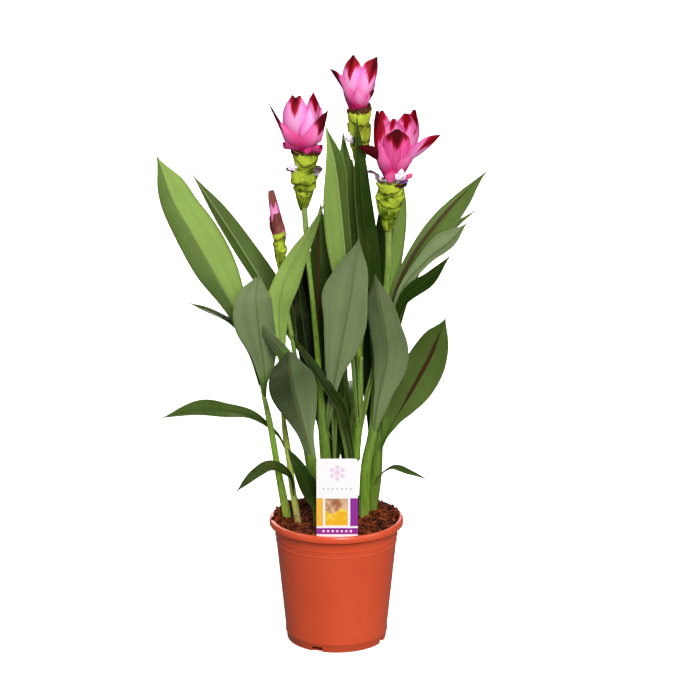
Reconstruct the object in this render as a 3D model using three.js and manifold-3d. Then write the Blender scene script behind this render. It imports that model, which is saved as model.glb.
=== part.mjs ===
// Potted siam tulip (Curcuma alismatifolia): a 12 cm nursery pot filled with peat, seven
// leafy shoots and a hidden one behind, three open flower heads, one bud and a plant label.
// Millimetres, +Z up, origin on the floor under the middle of the pot, front towards -Y.

import * as THREE from "three";
import { mergeVertices } from "three/addons/utils/BufferGeometryUtils.js";
import Module from "manifold-3d";

const wasm = await Module();
wasm.setup();

// Driving dimensions.
const POT_HEIGHT = 114;
const POT_BASE_RADIUS = 44.5;
const POT_SHOULDER_RADIUS = 55.4;
const POT_LIP_RADIUS = 60;
const POT_LIP_HEIGHT = 6.4;
const POT_WALL = 1.6;
const POT_FLOOR = 2.2;
const POT_EDGE = 1;
const POT_LIP_ROUNDING = 1.2;
const POT_LIP_FACE = 2.4;
const POT_INNER_STEP = 3;
const POT_FOOT_BAND = { height: 7, proud: 0.7 };
const POT_BAND = { from: 92, to: 99, proud: 0.6 };
const POT_SEGMENTS = 36;
const DRAIN_NOTCH = { width: 10, height: 5, depth: 7, turn: 67.4 };

const CLEARANCE = 0.3;
const SOIL_EDGE_HEIGHT = 106;
const SOIL_MIDDLE_HEIGHT = 112;
const SOIL_SLOPE = 0.1;
const SOIL_LUMP = 1.3;
const SOIL_SECTORS = 24;
const SOIL_RINGS = [0.93, 0.7, 0.38];

const LABEL = { width: 36, bottom: 106, top: 183, x: 1, y: -49.4, thickness: 0.8, corner: 3 };
const LABEL_STAKE = { point: 78, halfWidth: 2 };

const LEAF_THICKNESS = 0.8;
const PETIOLE_THICKNESS = 3.4;
const LEAF_EDGE = 0.4;
const WAVE_OFFSET = 1.9;
const WIDE_LEAF = { rows: 7, cells: 4 };
const NARROW_LEAF = { rows: 5, cells: 2 };
const STEM_ROWS = 7;
const STALK_GRID = { rows: 8, sides: 6 };

const HEAD_ROWS = 14;
const HEAD_CUP = 4;
const POUCH_SPREAD = 95;
const POUCH_LIP_FALL = 0.4;
const BRACT_THICKNESS = 1;
const BRACT_CUP = 42;
const BRACT_FOOT = { inset: 1.6, rise: 2 };
const CORE_PEG = { below: 9, above: 12, rows: 7, sides: 6 };

const FLORET_TUBE = { inset: 3.5, drop: 5, radii: [1.1, 1.5], mouth: 4 };
const FLORET_PETAL = { width: 3, cup: 30, turns: [-70, 0, 70], spread: 3.4, lift: 3 };

const DEG = Math.PI / 180;

// Shared shapes.
function smoothCurve(points) {
  const places = points.map((point) => new THREE.Vector3(...point));
  return new THREE.CatmullRomCurve3(places, false, "centripetal");
}

function closedGeometry(positions, triangles) {
  let volume = 0;
  const corner = (index) => new THREE.Vector3().fromArray(positions, index * 3);
  for (let i = 0; i < triangles.length; i += 3) {
    const [a, b, c] = [0, 1, 2].map((k) => corner(triangles[i + k]));
    volume += a.dot(b.cross(c));
  }
  const outward = volume < 0 ? triangles.slice().reverse() : triangles;
  const geometry = new THREE.BufferGeometry();
  geometry.setAttribute("position", new THREE.Float32BufferAttribute(positions, 3));
  geometry.setIndex(outward);
  return geometry;
}

// A three.js shape as one closed surface, without its seams.
function welded(shape) {
  shape.deleteAttribute("normal");
  shape.deleteAttribute("uv");
  const whole = mergeVertices(shape, 1e-4);
  const positions = Array.from(whole.getAttribute("position").array);
  return closedGeometry(positions, Array.from(whole.getIndex().array));
}

// A tapering round stem along a curve, closed at both ends.
function stemGeometry(points, radii, { sides = 8, rows = 8, grow = 0 } = {}) {
  const curve = smoothCurve(points);
  const positions = [];
  const triangles = [];
  for (let row = 0; row <= rows; row += 1) {
    const share = row / rows;
    const centre = curve.getPointAt(share);
    const along = curve.getTangentAt(share);
    const across = new THREE.Vector3(0, 1, 0).cross(along).normalize();
    const inward = along.clone().cross(across);
    const end = (row === rows) - (row === 0);
    centre.addScaledVector(along, end * grow);
    const place = share * (radii.length - 1);
    const step = Math.min(Math.floor(place), radii.length - 2);
    const radius = THREE.MathUtils.lerp(radii[step], radii[step + 1], place - step) + grow;
    for (let side = 0; side < sides; side += 1) {
      const angle = (side / sides) * 2 * Math.PI;
      const point = centre.clone()
        .addScaledVector(across, radius * Math.cos(angle))
        .addScaledVector(inward, radius * Math.sin(angle));
      positions.push(point.x, point.y, point.z);
    }
  }
  for (let row = 0; row < rows; row += 1) {
    for (let side = 0; side < sides; side += 1) {
      const next = (side + 1) % sides;
      const a = row * sides + side;
      const b = row * sides + next;
      triangles.push(a, b, b + sides, a, b + sides, a + sides);
    }
  }
  for (let side = 1; side < sides - 1; side += 1) {
    const last = rows * sides;
    triangles.push(0, side + 1, side, last, last + side, last + side + 1);
  }
  return closedGeometry(positions, triangles);
}

// Half-width of a blade along its length, as a share of its widest place.
const outlines = {
  leaf(share, { petiole, widest, fullness }) {
    const along = Math.max(0, (share - petiole) / (1 - petiole));
    const bulge = along ** (Math.log(0.5) / Math.log(widest));
    return Math.sin(Math.PI * Math.min(bulge, 1)) ** fullness;
  },
  bract(share) {
    return Math.sin(Math.PI * (0.12 + 0.88 * share ** 0.85)) ** 0.7;
  },
};

// A leaf, bract or petal: a thin closed blade along a rib. `face` is where its upper side
// looks, at the base and at the tip; `fold` bends its halves up to a V, `cup` to an arc.
function bladeGeometry({
  rib, width, face, faceTip = face, outline = "leaf", petiole = 0, fold = 0, cup = 0,
  wave = 0, waves = 2, stalk = 1.5, thickness = LEAF_THICKNESS, baseThickness = thickness,
  widest = 0.45, fullness = 0.85,
  rows = width > 10 ? WIDE_LEAF.rows : NARROW_LEAF.rows,
  cells = width > 14 ? WIDE_LEAF.cells : NARROW_LEAF.cells,
}) {
  const curve = smoothCurve(rib);
  const baseFace = new THREE.Vector3(...face);
  const tipFace = new THREE.Vector3(...faceTip);
  const middle = [];
  for (let row = 0; row <= rows; row += 1) {
    const share = row / rows;
    const centre = curve.getPointAt(share);
    const along = curve.getTangentAt(share);
    const up = baseFace.clone().lerp(tipFace, share);
    up.addScaledVector(along, -up.dot(along)).normalize();
    const across = along.clone().cross(up);
    const narrow = stalk * (1 - share) + LEAF_EDGE;
    const half = Math.max(narrow, width * outlines[outline](share, { petiole, widest, fullness }));
    const bend = cup * DEG;
    const line = [];
    for (let cell = 0; cell <= cells; cell += 1) {
      const side = (cell / cells) * 2 - 1;
      const reach = bend ? Math.sin(side * bend) / bend : side * Math.cos(fold * DEG);
      const arc = bend ? (1 - Math.cos(side * bend)) / bend : 0;
      const lift = Math.abs(side) * Math.sin(fold * DEG) + arc;
      const phase = waves * 2 * Math.PI * share + (side > 0 ? WAVE_OFFSET : 0);
      const ripple = wave * side * side * Math.sin(phase);
      line.push(centre.clone()
        .addScaledVector(across, reach * half)
        .addScaledVector(up, lift * half + ripple * (half / width)));
    }
    middle.push(line);
  }
  const positions = [];
  for (const sign of [1, -1]) {
    for (let row = 0; row <= rows; row += 1) {
      const share = row / rows;
      const rooted = THREE.MathUtils.smoothstep(share, 0, Math.max(petiole, 0.1) + 0.08);
      const depth = THREE.MathUtils.lerp(baseThickness, thickness, rooted) / 2;
      for (let cell = 0; cell <= cells; cell += 1) {
        const down = middle[Math.max(row - 1, 0)][cell];
        const upper = middle[Math.min(row + 1, rows)][cell];
        const left = middle[row][Math.max(cell - 1, 0)];
        const right = middle[row][Math.min(cell + 1, cells)];
        const normal = right.clone().sub(left).cross(upper.clone().sub(down)).normalize();
        const point = middle[row][cell].clone().addScaledVector(normal, sign * depth);
        positions.push(point.x, point.y, point.z);
      }
    }
  }
  const line = cells + 1;
  const other = line * (rows + 1);
  const triangles = [];
  for (let row = 0; row < rows; row += 1) {
    for (let cell = 0; cell < cells; cell += 1) {
      const a = row * line + cell;
      const [b, c, d] = [a + 1, a + line + 1, a + line];
      triangles.push(a, b, c, a, c, d);
      triangles.push(a + other, c + other, b + other, a + other, d + other, c + other);
    }
  }
  const wall = (a, b) => triangles.push(b, a, a + other, b, a + other, b + other);
  for (let cell = 0; cell < cells; cell += 1) {
    wall(cell, cell + 1);
    wall(rows * line + cell + 1, rows * line + cell);
  }
  for (let row = 0; row < rows; row += 1) {
    wall((row + 1) * line, row * line);
    wall(row * line + cells, (row + 1) * line + cells);
  }
  return closedGeometry(positions, triangles);
}

// Joining and cutting.
function solid(geometry) {
  const position = geometry.getAttribute("position");
  const index = geometry.getIndex();
  const mesh = new wasm.Mesh({
    numProp: 3,
    vertProperties: new Float32Array(position.array),
    triVerts: new Uint32Array(index.array),
  });
  return new wasm.Manifold(mesh);
}

function joined(solids) {
  return solids.reduce((sum, piece) => sum.add(piece));
}

function largestPiece(body) {
  return body.decompose().reduce((best, piece) => (piece.volume() > best.volume() ? piece : best));
}

const plant = new THREE.Group();
plant.name = "potted_siam_tulip";

function addNode(name, body, colour, roughness) {
  const { vertProperties, triVerts } = body.getMesh();
  const geometry = new THREE.BufferGeometry();
  geometry.setAttribute("position", new THREE.Float32BufferAttribute(vertProperties, 3));
  geometry.setIndex(Array.from(triVerts));
  geometry.computeVertexNormals();
  const mesh = new THREE.Mesh(geometry, new THREE.MeshStandardMaterial({ color: colour, roughness }));
  mesh.name = name;
  plant.add(mesh);
}

// Pot: moulded plastic with a rolled lip, a raised band and four drain notches.
function bodyRadius(height) {
  const shoulder = POT_HEIGHT - POT_LIP_HEIGHT;
  return THREE.MathUtils.mapLinear(height, 0, shoulder, POT_BASE_RADIUS, POT_SHOULDER_RADIUS);
}

function innerRadius(height) {
  return bodyRadius(height) - POT_WALL;
}

function potSolid() {
  const shoulder = POT_HEIGHT - POT_LIP_HEIGHT;
  const foot = POT_FOOT_BAND;
  const profile = [
    [0, 0],
    [POT_BASE_RADIUS - POT_EDGE, 0],
    [POT_BASE_RADIUS, POT_EDGE],
    [bodyRadius(foot.height), foot.height],
    [bodyRadius(foot.height) + foot.proud, foot.height + foot.proud],
    [bodyRadius(POT_BAND.from), POT_BAND.from],
    [bodyRadius(POT_BAND.from) + POT_BAND.proud, POT_BAND.from + POT_BAND.proud],
    [bodyRadius(POT_BAND.to) + POT_BAND.proud, POT_BAND.to - POT_BAND.proud],
    [bodyRadius(POT_BAND.to), POT_BAND.to],
    [bodyRadius(shoulder), shoulder],
    [POT_LIP_RADIUS - POT_EDGE, shoulder],
    [POT_LIP_RADIUS, shoulder + POT_EDGE],
    [POT_LIP_RADIUS, POT_HEIGHT - POT_LIP_ROUNDING],
    [POT_LIP_RADIUS - POT_LIP_ROUNDING, POT_HEIGHT],
    [POT_LIP_RADIUS - POT_LIP_ROUNDING - POT_LIP_FACE, POT_HEIGHT],
    [innerRadius(shoulder) + POT_EDGE, shoulder + POT_INNER_STEP],
    [innerRadius(shoulder), shoulder],
    [innerRadius(POT_FLOOR), POT_FLOOR],
    [0, POT_FLOOR],
  ];
  const outline = profile.map(([radius, height]) => new THREE.Vector2(radius, height));
  const turned = new THREE.LatheGeometry(outline, POT_SEGMENTS);
  turned.rotateX(Math.PI / 2);
  let pot = solid(welded(turned));
  for (let corner = 0; corner < 4; corner += 1) {
    const notch = new THREE.BoxGeometry(DRAIN_NOTCH.depth, DRAIN_NOTCH.width, 2 * DRAIN_NOTCH.height);
    notch.translate(POT_BASE_RADIUS, 0, 0);
    notch.rotateZ((DRAIN_NOTCH.turn + corner * 90) * DEG);
    pot = pot.subtract(solid(welded(notch)));
  }
  return pot;
}

// Soil: one body of peat, low behind the front of the rim and heaped towards the back.
function soilHeight(x, y) {
  const wide = Math.sin(x * 0.21 + 1.3) * Math.cos(y * 0.24 - 0.4);
  const lumps = wide + 0.6 * Math.sin(x * 0.43 - y * 0.37);
  return SOIL_MIDDLE_HEIGHT + SOIL_SLOPE * y + SOIL_LUMP * lumps;
}

function soilSolid() {
  const sectors = SOIL_SECTORS;
  const edge = innerRadius(SOIL_EDGE_HEIGHT) - CLEARANCE;
  const floor = POT_FLOOR + CLEARANCE;
  const positions = [];
  const addRing = (radius, height) => {
    for (let sector = 0; sector < sectors; sector += 1) {
      const angle = (sector / sectors) * 2 * Math.PI;
      const [x, y] = [radius * Math.cos(angle), radius * Math.sin(angle)];
      positions.push(x, y, height(x, y));
    }
  };
  addRing(innerRadius(floor) - CLEARANCE, () => floor);
  addRing(edge, () => SOIL_EDGE_HEIGHT);
  SOIL_RINGS.forEach((share) => addRing(edge * share, soilHeight));
  positions.push(0, 0, floor, 0, 0, soilHeight(0, 0));
  const ringCount = SOIL_RINGS.length + 2;
  const [under, top] = [ringCount * sectors, ringCount * sectors + 1];
  const triangles = [];
  for (let sector = 0; sector < sectors; sector += 1) {
    const next = (sector + 1) % sectors;
    for (let ring = 0; ring < ringCount - 1; ring += 1) {
      const [a, b] = [ring * sectors + sector, ring * sectors + next];
      triangles.push(a, b, b + sectors, a, b + sectors, a + sectors);
    }
    const last = (ringCount - 1) * sectors;
    triangles.push(under, next, sector, top, last + sector, last + next);
  }
  return solid(closedGeometry(positions, triangles));
}

// Label: a thin plastic card on a pointed stake, pushed in behind the front of the rim.
function labelSolid(grow = 0) {
  const half = LABEL.width / 2 + grow;
  const top = LABEL.top + grow;
  const corner = LABEL.corner;
  const stake = LABEL_STAKE.halfWidth + grow;
  const card = new THREE.Shape();
  card.moveTo(-half, LABEL.bottom);
  card.lineTo(-half, top - corner);
  card.absarc(-half + corner, top - corner, corner, Math.PI, Math.PI / 2, true);
  card.absarc(half - corner, top - corner, corner, Math.PI / 2, 0, true);
  card.lineTo(half, LABEL.bottom);
  card.lineTo(stake, LABEL_STAKE.point - grow);
  card.lineTo(-stake, LABEL_STAKE.point - grow);
  const depth = LABEL.thickness + 2 * grow;
  const plate = new THREE.ExtrudeGeometry(card, { depth, bevelEnabled: false, curveSegments: 3 });
  plate.rotateX(Math.PI / 2);
  plate.translate(LABEL.x, LABEL.y + depth / 2, 0);
  return solid(welded(plate));
}

// Leafy shoots. Each has a stem of wrapped leaf sheaths, sunk in the soil, with its leaves fused to it.
// Ribs run from the sheath to the tip.
const shoots = [
  {
    name: "leafy_shoot_far_left",
    stem: [[-44, 11, 88], [-46, 10, 112], [-54, 4, 170], [-60, -2, 204], [-64, -6, 228], [-69, -8, 250]],
    radii: [4.6, 4.2, 3.8, 3.2, 2],
    leaves: [
      {
        rib: [
          [-66, -7, 238], [-75, 6, 267], [-90, 18, 302],
          [-107, 28, 334], [-130, 36, 375], [-157, 40, 434],
        ],
        width: 25, face: [0.5, -0.9, 0.2], petiole: 0.16, fold: 24, wave: 1.5, widest: 0.5, fullness: 0.75,
      },
      {
        rib: [[-63, -6, 224], [-63, -16, 252], [-67, -34, 296], [-69, -38, 325], [-67, -24, 340]],
        width: 20, face: [-0.4, 0.9, 0.3], faceTip: [-0.2, 0.7, -0.6], petiole: 0.2, fold: 16, wave: 1.5,
        widest: 0.6, fullness: 0.6,
      },
      {
        rib: [[-66, -7, 236], [-81, 4, 278], [-102, 14, 294], [-130, 22, 305]],
        width: 7, face: [0.3, -0.2, 0.9], petiole: 0.1, fold: 20, wave: 1,
      },
    ],
  },
  {
    name: "leafy_shoot_left",
    stem: [[-33, -8, 88], [-34, -6, 108], [-39, 2, 138], [-42, 8, 164], [-46, 12, 191], [-48, 13, 214]],
    radii: [3.6, 3.2, 3, 2.6, 2],
    leaves: [
      {
        rib: [[-47, 13, 200], [-46, 10, 247], [-48, 4, 294], [-47, 2, 322], [-34, 6, 355], [-12, 12, 391]],
        width: 14, face: [-0.6, -0.8, 0.2], petiole: 0.14, fold: 22, wave: 1,
      },
      {
        rib: [
          [-43, 9, 168], [-53, 18, 185], [-73, 12, 203],
          [-96, -4, 213], [-119, -22, 220], [-151, -48, 220],
        ],
        width: 14, face: [0, -0.35, 0.95], petiole: 0.16, fold: 22, wave: 2,
      },
      {
        rib: [[-38, 0, 130], [-41, -14, 156], [-57, -28, 169], [-71, -40, 166], [-87, -52, 154]],
        width: 10, face: [0.1, -0.3, 0.95], petiole: 0.18, fold: 20, wave: 1,
      },
    ],
  },
  {
    name: "leafy_shoot_front",
    stem: [[-13, -14, 88], [-15, -15, 120], [-21, -20, 163], [-25, -24, 188], [-30, -28, 214]],
    radii: [5.6, 5.2, 5, 4.4, 2.6],
    leaves: [
      {
        rib: [
          [-26, -25, 194], [-32, -32, 218], [-38, -44, 248],
          [-42, -48, 273], [-53, -45, 283], [-68, -42, 295],
        ],
        width: 21, face: [0, 1, 0.1], faceTip: [-0.3, 0.2, -0.9], petiole: 0.1, fold: 14, wave: 1.5,
        fullness: 0.75,
      },
      {
        rib: [[-18, -18, 140], [-29, -12, 168], [-39, -2, 174], [-47, 2, 178]],
        width: 13, face: [0.3, 0.5, 0.8], petiole: 0.08, fold: 24, wave: 1,
      },
    ],
  },
  {
    name: "leafy_shoot_middle",
    stem: [[-5, -2, 88], [-6, -3, 124], [-9, -8, 169], [-11, -10, 202], [-12, -10, 226]],
    radii: [5.6, 5.4, 5, 4.6, 3.6],
    leaves: [
      {
        rib: [[-8, -12, 198], [-3, -25, 239], [2, -40, 279], [9, -46, 320], [16, -42, 350], [20, -30, 376]],
        width: 22, face: [0, 1, 0.2], petiole: 0.16, fold: 12, wave: 1.5, widest: 0.58, fullness: 0.7,
      },
      {
        rib: [[-12, -6, 214], [-13, 6, 249], [-16, 12, 293], [-17, 10, 339], [-14, 2, 387]],
        width: 10, face: [0.2, -1, 0.1], petiole: 0.2, fold: 20, wave: 1,
      },
      {
        rib: [[-10, -4, 216], [-16, 22, 253], [-28, 30, 287], [-32, 32, 314], [-25, 28, 346]],
        width: 11, face: [0.4, -0.9, 0.2], petiole: 0.2, fold: 20, wave: 1,
      },
    ],
  },
  {
    name: "leafy_shoot_tall",
    stem: [[10, 4, 88], [12, 4, 123], [15, 0, 166], [18, -2, 213], [20, -2, 240]],
    radii: [4.6, 4.4, 4.2, 4, 3.6],
    leaves: [
      {
        rib: [
          [12, 6, 135], [8, 20, 188], [-6, 32, 224], [-30, 46, 257],
          [-57, 58, 299], [-87, 68, 347], [-129, 74, 411],
        ],
        width: 20, face: [0.6, -0.7, 0.5], petiole: 0.34, fold: 24, wave: 1.5, stalk: 2.2,
      },
      {
        rib: [[18, -4, 222], [14, -10, 289], [9, -8, 347], [4, -4, 399], [-1, -4, 438], [-9, -4, 470]],
        width: 15, face: [-0.3, 0.9, 0.1], petiole: 0.12, fold: 20, wave: 1,
      },
      {
        rib: [[20, 0, 232], [17, 26, 309], [14, 30, 363], [10, 28, 407], [6, 24, 459]],
        width: 13, face: [-0.2, -0.9, 0.1], petiole: 0.14, fold: 18, wave: 1,
      },
    ],
  },
  {
    name: "leafy_shoot_right",
    stem: [[26, 2, 88], [27, 2, 111], [29, 2, 147], [32, 2, 180], [33, 2, 216]],
    radii: [4.2, 4, 3.8, 3.6, 3.2],
    leaves: [
      {
        rib: [[33, 0, 192], [37, -14, 227], [44, -28, 267], [42, -36, 296], [37, -36, 323], [34, -28, 344]],
        width: 20, face: [0.1, 1, 0.2], petiole: 0.14, fold: 14, wave: 1.5, widest: 0.42,
      },
      {
        rib: [[33, 4, 204], [32, 16, 282], [29, 12, 336], [22, 0, 407], [18, -5, 477]],
        width: 11, face: [0.5, -0.8, 0.1], petiole: 0.2, fold: 24, wave: 1,
      },
    ],
  },
  {
    name: "leafy_shoot_far_right",
    stem: [[31, 14, 88], [31, 13, 108], [36, 12, 144], [40, 11, 177], [42, 10, 200]],
    radii: [4.2, 4, 3.8, 3.6, 2.6],
    leaves: [
      {
        rib: [[39, 9, 173], [49, 2, 198], [62, -10, 225], [80, -22, 263], [90, -30, 290], [95, -32, 305]],
        width: 21, face: [-0.4, -0.9, 0.3], petiole: 0.16, fold: 14, wave: 1.5, widest: 0.5, fullness: 0.7,
      },
      {
        rib: [
          [41, 12, 186], [43, 26, 233], [50, 38, 299], [70, 48, 338],
          [97, 58, 364], [119, 66, 389], [134, 70, 414],
        ],
        width: 18, face: [-0.3, -0.8, 0.5], petiole: 0.42, fold: 20, wave: 1.5, widest: 0.4, fullness: 0.8,
      },
      {
        rib: [[42, 11, 191], [48, 16, 255], [56, 18, 313], [78, 14, 344], [100, 8, 364], [114, 2, 382]],
        width: 12, face: [0.5, 0.7, 0.4], petiole: 0.4, fold: 20, wave: 1,
      },
      {
        rib: [[42, 11, 191], [50, 30, 251], [66, 50, 319], [92, 66, 352], [126, 80, 377]],
        width: 9, face: [-0.4, -0.6, 0.6], petiole: 0.5, fold: 20, wave: 1,
      },
      {
        rib: [[42, 10, 194], [48, 6, 257], [58, 0, 310], [81, -10, 336], [99, -20, 358]],
        width: 10, face: [-0.4, -0.7, 0.5], petiole: 0.46, fold: 20, wave: 1,
      },
      {
        rib: [[42, 12, 190], [43, 28, 260], [48, 40, 312], [53, 48, 356], [55, 54, 396], [49, 58, 436]],
        width: 16, face: [-0.5, -0.8, 0], petiole: 0.26, fold: 20, wave: 1.5,
      },
      {
        rib: [[35, 11, 134], [37, 2, 149], [50, -10, 162], [65, -20, 161], [80, -30, 158]],
        width: 5, face: [0, -0.2, 1], petiole: 0.1, fold: 20, wave: 1,
      },
    ],
  },
  {
    name: "leafy_shoot_back",
    stem: [[14, 28, 88], [15, 30, 120], [16, 34, 160], [16, 39, 200], [16, 42, 225]],
    radii: [4.2, 4, 3.8, 3.4, 2.4],
    leaves: [
      {
        rib: [[16, 41, 214], [15, 50, 289], [14, 58, 357], [14, 62, 428]],
        width: 13, face: [0, -1, 0.1], petiole: 0.2, fold: 20, wave: 1,
      },
      {
        rib: [[16, 36, 180], [4, 54, 228], [-14, 80, 272], [-32, 108, 300], [-46, 136, 304]],
        width: 18, face: [0.2, -0.5, 0.85], petiole: 0.2, fold: 20, wave: 1.5,
      },
      {
        rib: [[16, 37, 186], [26, 58, 232], [38, 86, 260], [50, 114, 264], [60, 138, 248]],
        width: 18, face: [-0.2, -0.5, 0.85], petiole: 0.2, fold: 20, wave: 1.5,
      },
      {
        rib: [[15, 32, 140], [12, 54, 180], [6, 82, 204], [0, 108, 202], [-4, 128, 186]],
        width: 16, face: [0, -0.4, 0.9], petiole: 0.2, fold: 20, wave: 1.5,
      },
    ],
  },
];

// Flower heads. A head's own frame stands on the foot of its green part and follows its axis; places in
// it are given as radius, azimuth (from +X towards +Y, degrees) and height.
function headFrame(foot, crown) {
  const origin = new THREE.Vector3(...foot);
  const axis = new THREE.Vector3(...crown).sub(origin);
  const height = axis.length();
  axis.normalize();
  const toBack = axis.clone().cross(new THREE.Vector3(1, 0, 0)).normalize();
  const toRight = toBack.clone().cross(axis);
  const outward = (azimuth) => toRight.clone().multiplyScalar(Math.cos(azimuth * DEG))
    .addScaledVector(toBack, Math.sin(azimuth * DEG));
  const at = (radius, azimuth, rise) => origin.clone()
    .addScaledVector(axis, rise)
    .addScaledVector(outward(azimuth), radius)
    .toArray();
  const inward = (azimuth) => outward(azimuth).negate().toArray();
  return { at, inward, height };
}

// Pouches are [azimuth, lip height, length, radius]; pink bracts are
// [azimuth, length, middle radius, tip radius, half-width].
const heads = [
  {
    name: "left",
    shoot: "leafy_shoot_middle",
    stalk: [[-11, -10, 192], [-12, -10, 225], [-17, -5, 274], [-22, 2, 320], [-27, 15, 363], [-32, 16, 394]],
    stalkRadii: [2.1, 2, 1.9, 1.9],
    foot: [-32, 16, 392],
    crown: [-26, 16, 446],
    core: [1.6, 4.5, 6.5, 8, 9, 10, 6],
    crownCore: [2.2, 2.2, 2.2, 3, 7, 6, 4, 1.5],
    pouches: [
      [300, 12, 16, 7.5], [120, 18, 17, 9], [235, 26, 19, 11.5], [5, 32, 20, 13],
      [110, 38, 20, 13], [210, 42, 20, 13.5], [285, 47, 21, 13.5], [40, 53, 21, 14], [165, 53, 19, 14.5],
    ],
    bracts: [
      [262, 48, 14, 8, 14], [205, 47, 21, 13, 13], [20, 47, 17, 12, 13], [100, 45, 14, 9, 13],
      [182, 37, 22, 33, 7], [336, 33, 17, 26, 10],
    ],
  },
  {
    name: "top",
    shoot: "leafy_shoot_tall",
    stalk: [[18, -2, 206], [20, -2, 244], [21, 8, 277], [22, 20, 330], [21, 22, 387], [21, 16, 432]],
    stalkRadii: [2.6, 2.6, 2.2, 2],
    foot: [21, 16, 430],
    crown: [20, 14, 482],
    core: [1.8, 4.5, 6.5, 7.5, 8, 8, 5],
    crownCore: [2, 2, 2, 2.6, 6, 5, 3.4, 1.5],
    pouches: [
      [290, 14, 17, 7], [110, 20, 18, 8.5], [225, 26, 19, 9.5], [350, 32, 20, 10],
      [95, 37, 20, 10], [200, 41, 20, 10], [290, 46, 21, 10.5], [50, 51.5, 20, 10.5], [170, 51.5, 20, 10.5],
    ],
    bracts: [
      [243, 47, 13, 9, 14], [350, 43, 14, 16, 11], [186, 34, 17, 29, 7], [325, 19, 10, 16, 6],
      [60, 44, 12, 8, 12], [135, 45, 14, 9, 13],
    ],
  },
  {
    name: "right",
    shoot: "leafy_shoot_right",
    stalk: [[32, 2, 186], [33, 2, 214], [37, 2, 267], [44, 0, 322], [46, -3, 359], [45, -6, 385]],
    stalkRadii: [2.2, 2.2, 2, 2],
    foot: [45, -6, 383],
    crown: [48, -6, 423],
    core: [1.8, 5.5, 7.5, 8.5, 9, 6],
    crownCore: [2.2, 2.2, 2.2, 3, 6.5, 6, 4, 1.5],
    pouches: [
      [310, 12, 14, 7.5], [130, 17, 16, 9], [235, 22, 17, 10], [0, 27, 18, 11],
      [110, 31, 18, 11], [200, 34, 19, 11], [285, 37, 19, 11.5], [50, 39.6, 18, 12], [165, 39.6, 18, 12],
    ],
    bracts: [
      [192, 59, 17, 15, 11], [158, 58, 14, 9, 9], [95, 49, 13, 14, 11], [45, 54, 15, 16, 11],
      [8, 60, 19, 24, 13], [292, 46, 14, 13, 16], [345, 40, 25, 44, 9], [214, 30, 18, 34, 8],
      [245, 35, 15, 12, 11],
    ],
  },
  {
    name: "bud",
    shoot: "leafy_shoot_front",
    stalk: [[-22, -21, 168], [-26, -23, 195], [-31, -12, 230], [-37, 0, 267], [-43, 9, 300], [-49, 14, 339]],
    stalkRadii: [1.7, 1.6, 1.5, 1.5],
    foot: [-49, 14, 337],
    crown: [-53, 16, 370],
    core: [1.5, 3.6, 4.4, 4.6, 3.4],
    crownCore: [1.4, 1.4, 1.4, 1.8, 3.4, 2.6, 1.8, 1],
    columns: 10,
    pouches: [
      [290, 15, 17, 5.4], [170, 21, 18, 5.8], [50, 26, 20, 6],
      [280, 31, 20, 6.2], [120, 32.6, 18, 6],
    ],
    bracts: [[265, 30, 5.6, 2.4, 6], [145, 36, 5, 1, 6], [25, 34, 5.2, 1.8, 6]],
  },
];

// How far one green pouch stands out from the axis: it widens upwards and ends in a lip
// that is highest in its middle.
function pouchRadius(azimuth, rise, [middle, lip, length, radius]) {
  const turn = Math.abs(((azimuth - middle + 540) % 360) - 180) / POUCH_SPREAD;
  const share = (rise - (lip - length)) / length;
  if (turn >= 1 || share <= 0 || share > 1 - POUCH_LIP_FALL * turn * turn) {
    return 0;
  }
  return radius * (0.45 + 0.55 * share ** 0.7) * (1 - turn * turn) ** 0.25;
}

function greenHeadGeometry(frame, { pouches, core, columns = 16 }) {
  const positions = [];
  const addRing = (rise, radiusAt) => {
    for (let column = 0; column < columns; column += 1) {
      const azimuth = (column / columns) * 360;
      positions.push(...frame.at(radiusAt(azimuth), azimuth, rise));
    }
  };
  const outer = (azimuth, rise) => {
    const place = Math.min(rise / frame.height, 0.999) * (core.length - 1);
    const step = Math.floor(place);
    const inside = THREE.MathUtils.lerp(core[step], core[step + 1], place - step);
    return Math.max(inside, ...pouches.map((pouch) => pouchRadius(azimuth, rise, pouch)));
  };
  for (let row = 0; row <= HEAD_ROWS; row += 1) {
    const rise = (row / HEAD_ROWS) * frame.height;
    addRing(rise, (azimuth) => outer(azimuth, rise));
  }
  addRing(frame.height, (azimuth) => outer(azimuth, frame.height) - BRACT_THICKNESS);
  addRing(frame.height - HEAD_CUP, () => core.at(-1));
  const rings = HEAD_ROWS + 3;
  positions.push(...frame.at(0, 0, 0), ...frame.at(0, 0, frame.height - HEAD_CUP));
  const [under, top] = [rings * columns, rings * columns + 1];
  const triangles = [];
  for (let column = 0; column < columns; column += 1) {
    const next = (column + 1) % columns;
    for (let ring = 0; ring < rings - 1; ring += 1) {
      const [a, b] = [ring * columns + column, ring * columns + next];
      triangles.push(a, b, b + columns, a, b + columns, a + columns);
    }
    const last = (rings - 1) * columns;
    triangles.push(under, next, column, top, last + column, last + next);
  }
  return closedGeometry(positions, triangles);
}

function bractGeometry(frame, foot, [azimuth, length, middle, tip, width]) {
  return bladeGeometry({
    rib: [
      frame.at(foot.radius, azimuth, foot.height),
      frame.at(middle * 0.92, azimuth, foot.height + length * 0.22),
      frame.at(middle, azimuth, foot.height + length * 0.6),
      frame.at(tip, azimuth, foot.height + length),
    ],
    width, face: frame.inward(azimuth), outline: "bract", cup: BRACT_CUP, stalk: 0,
    thickness: BRACT_THICKNESS, rows: 4, cells: 2,
  });
}

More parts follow.
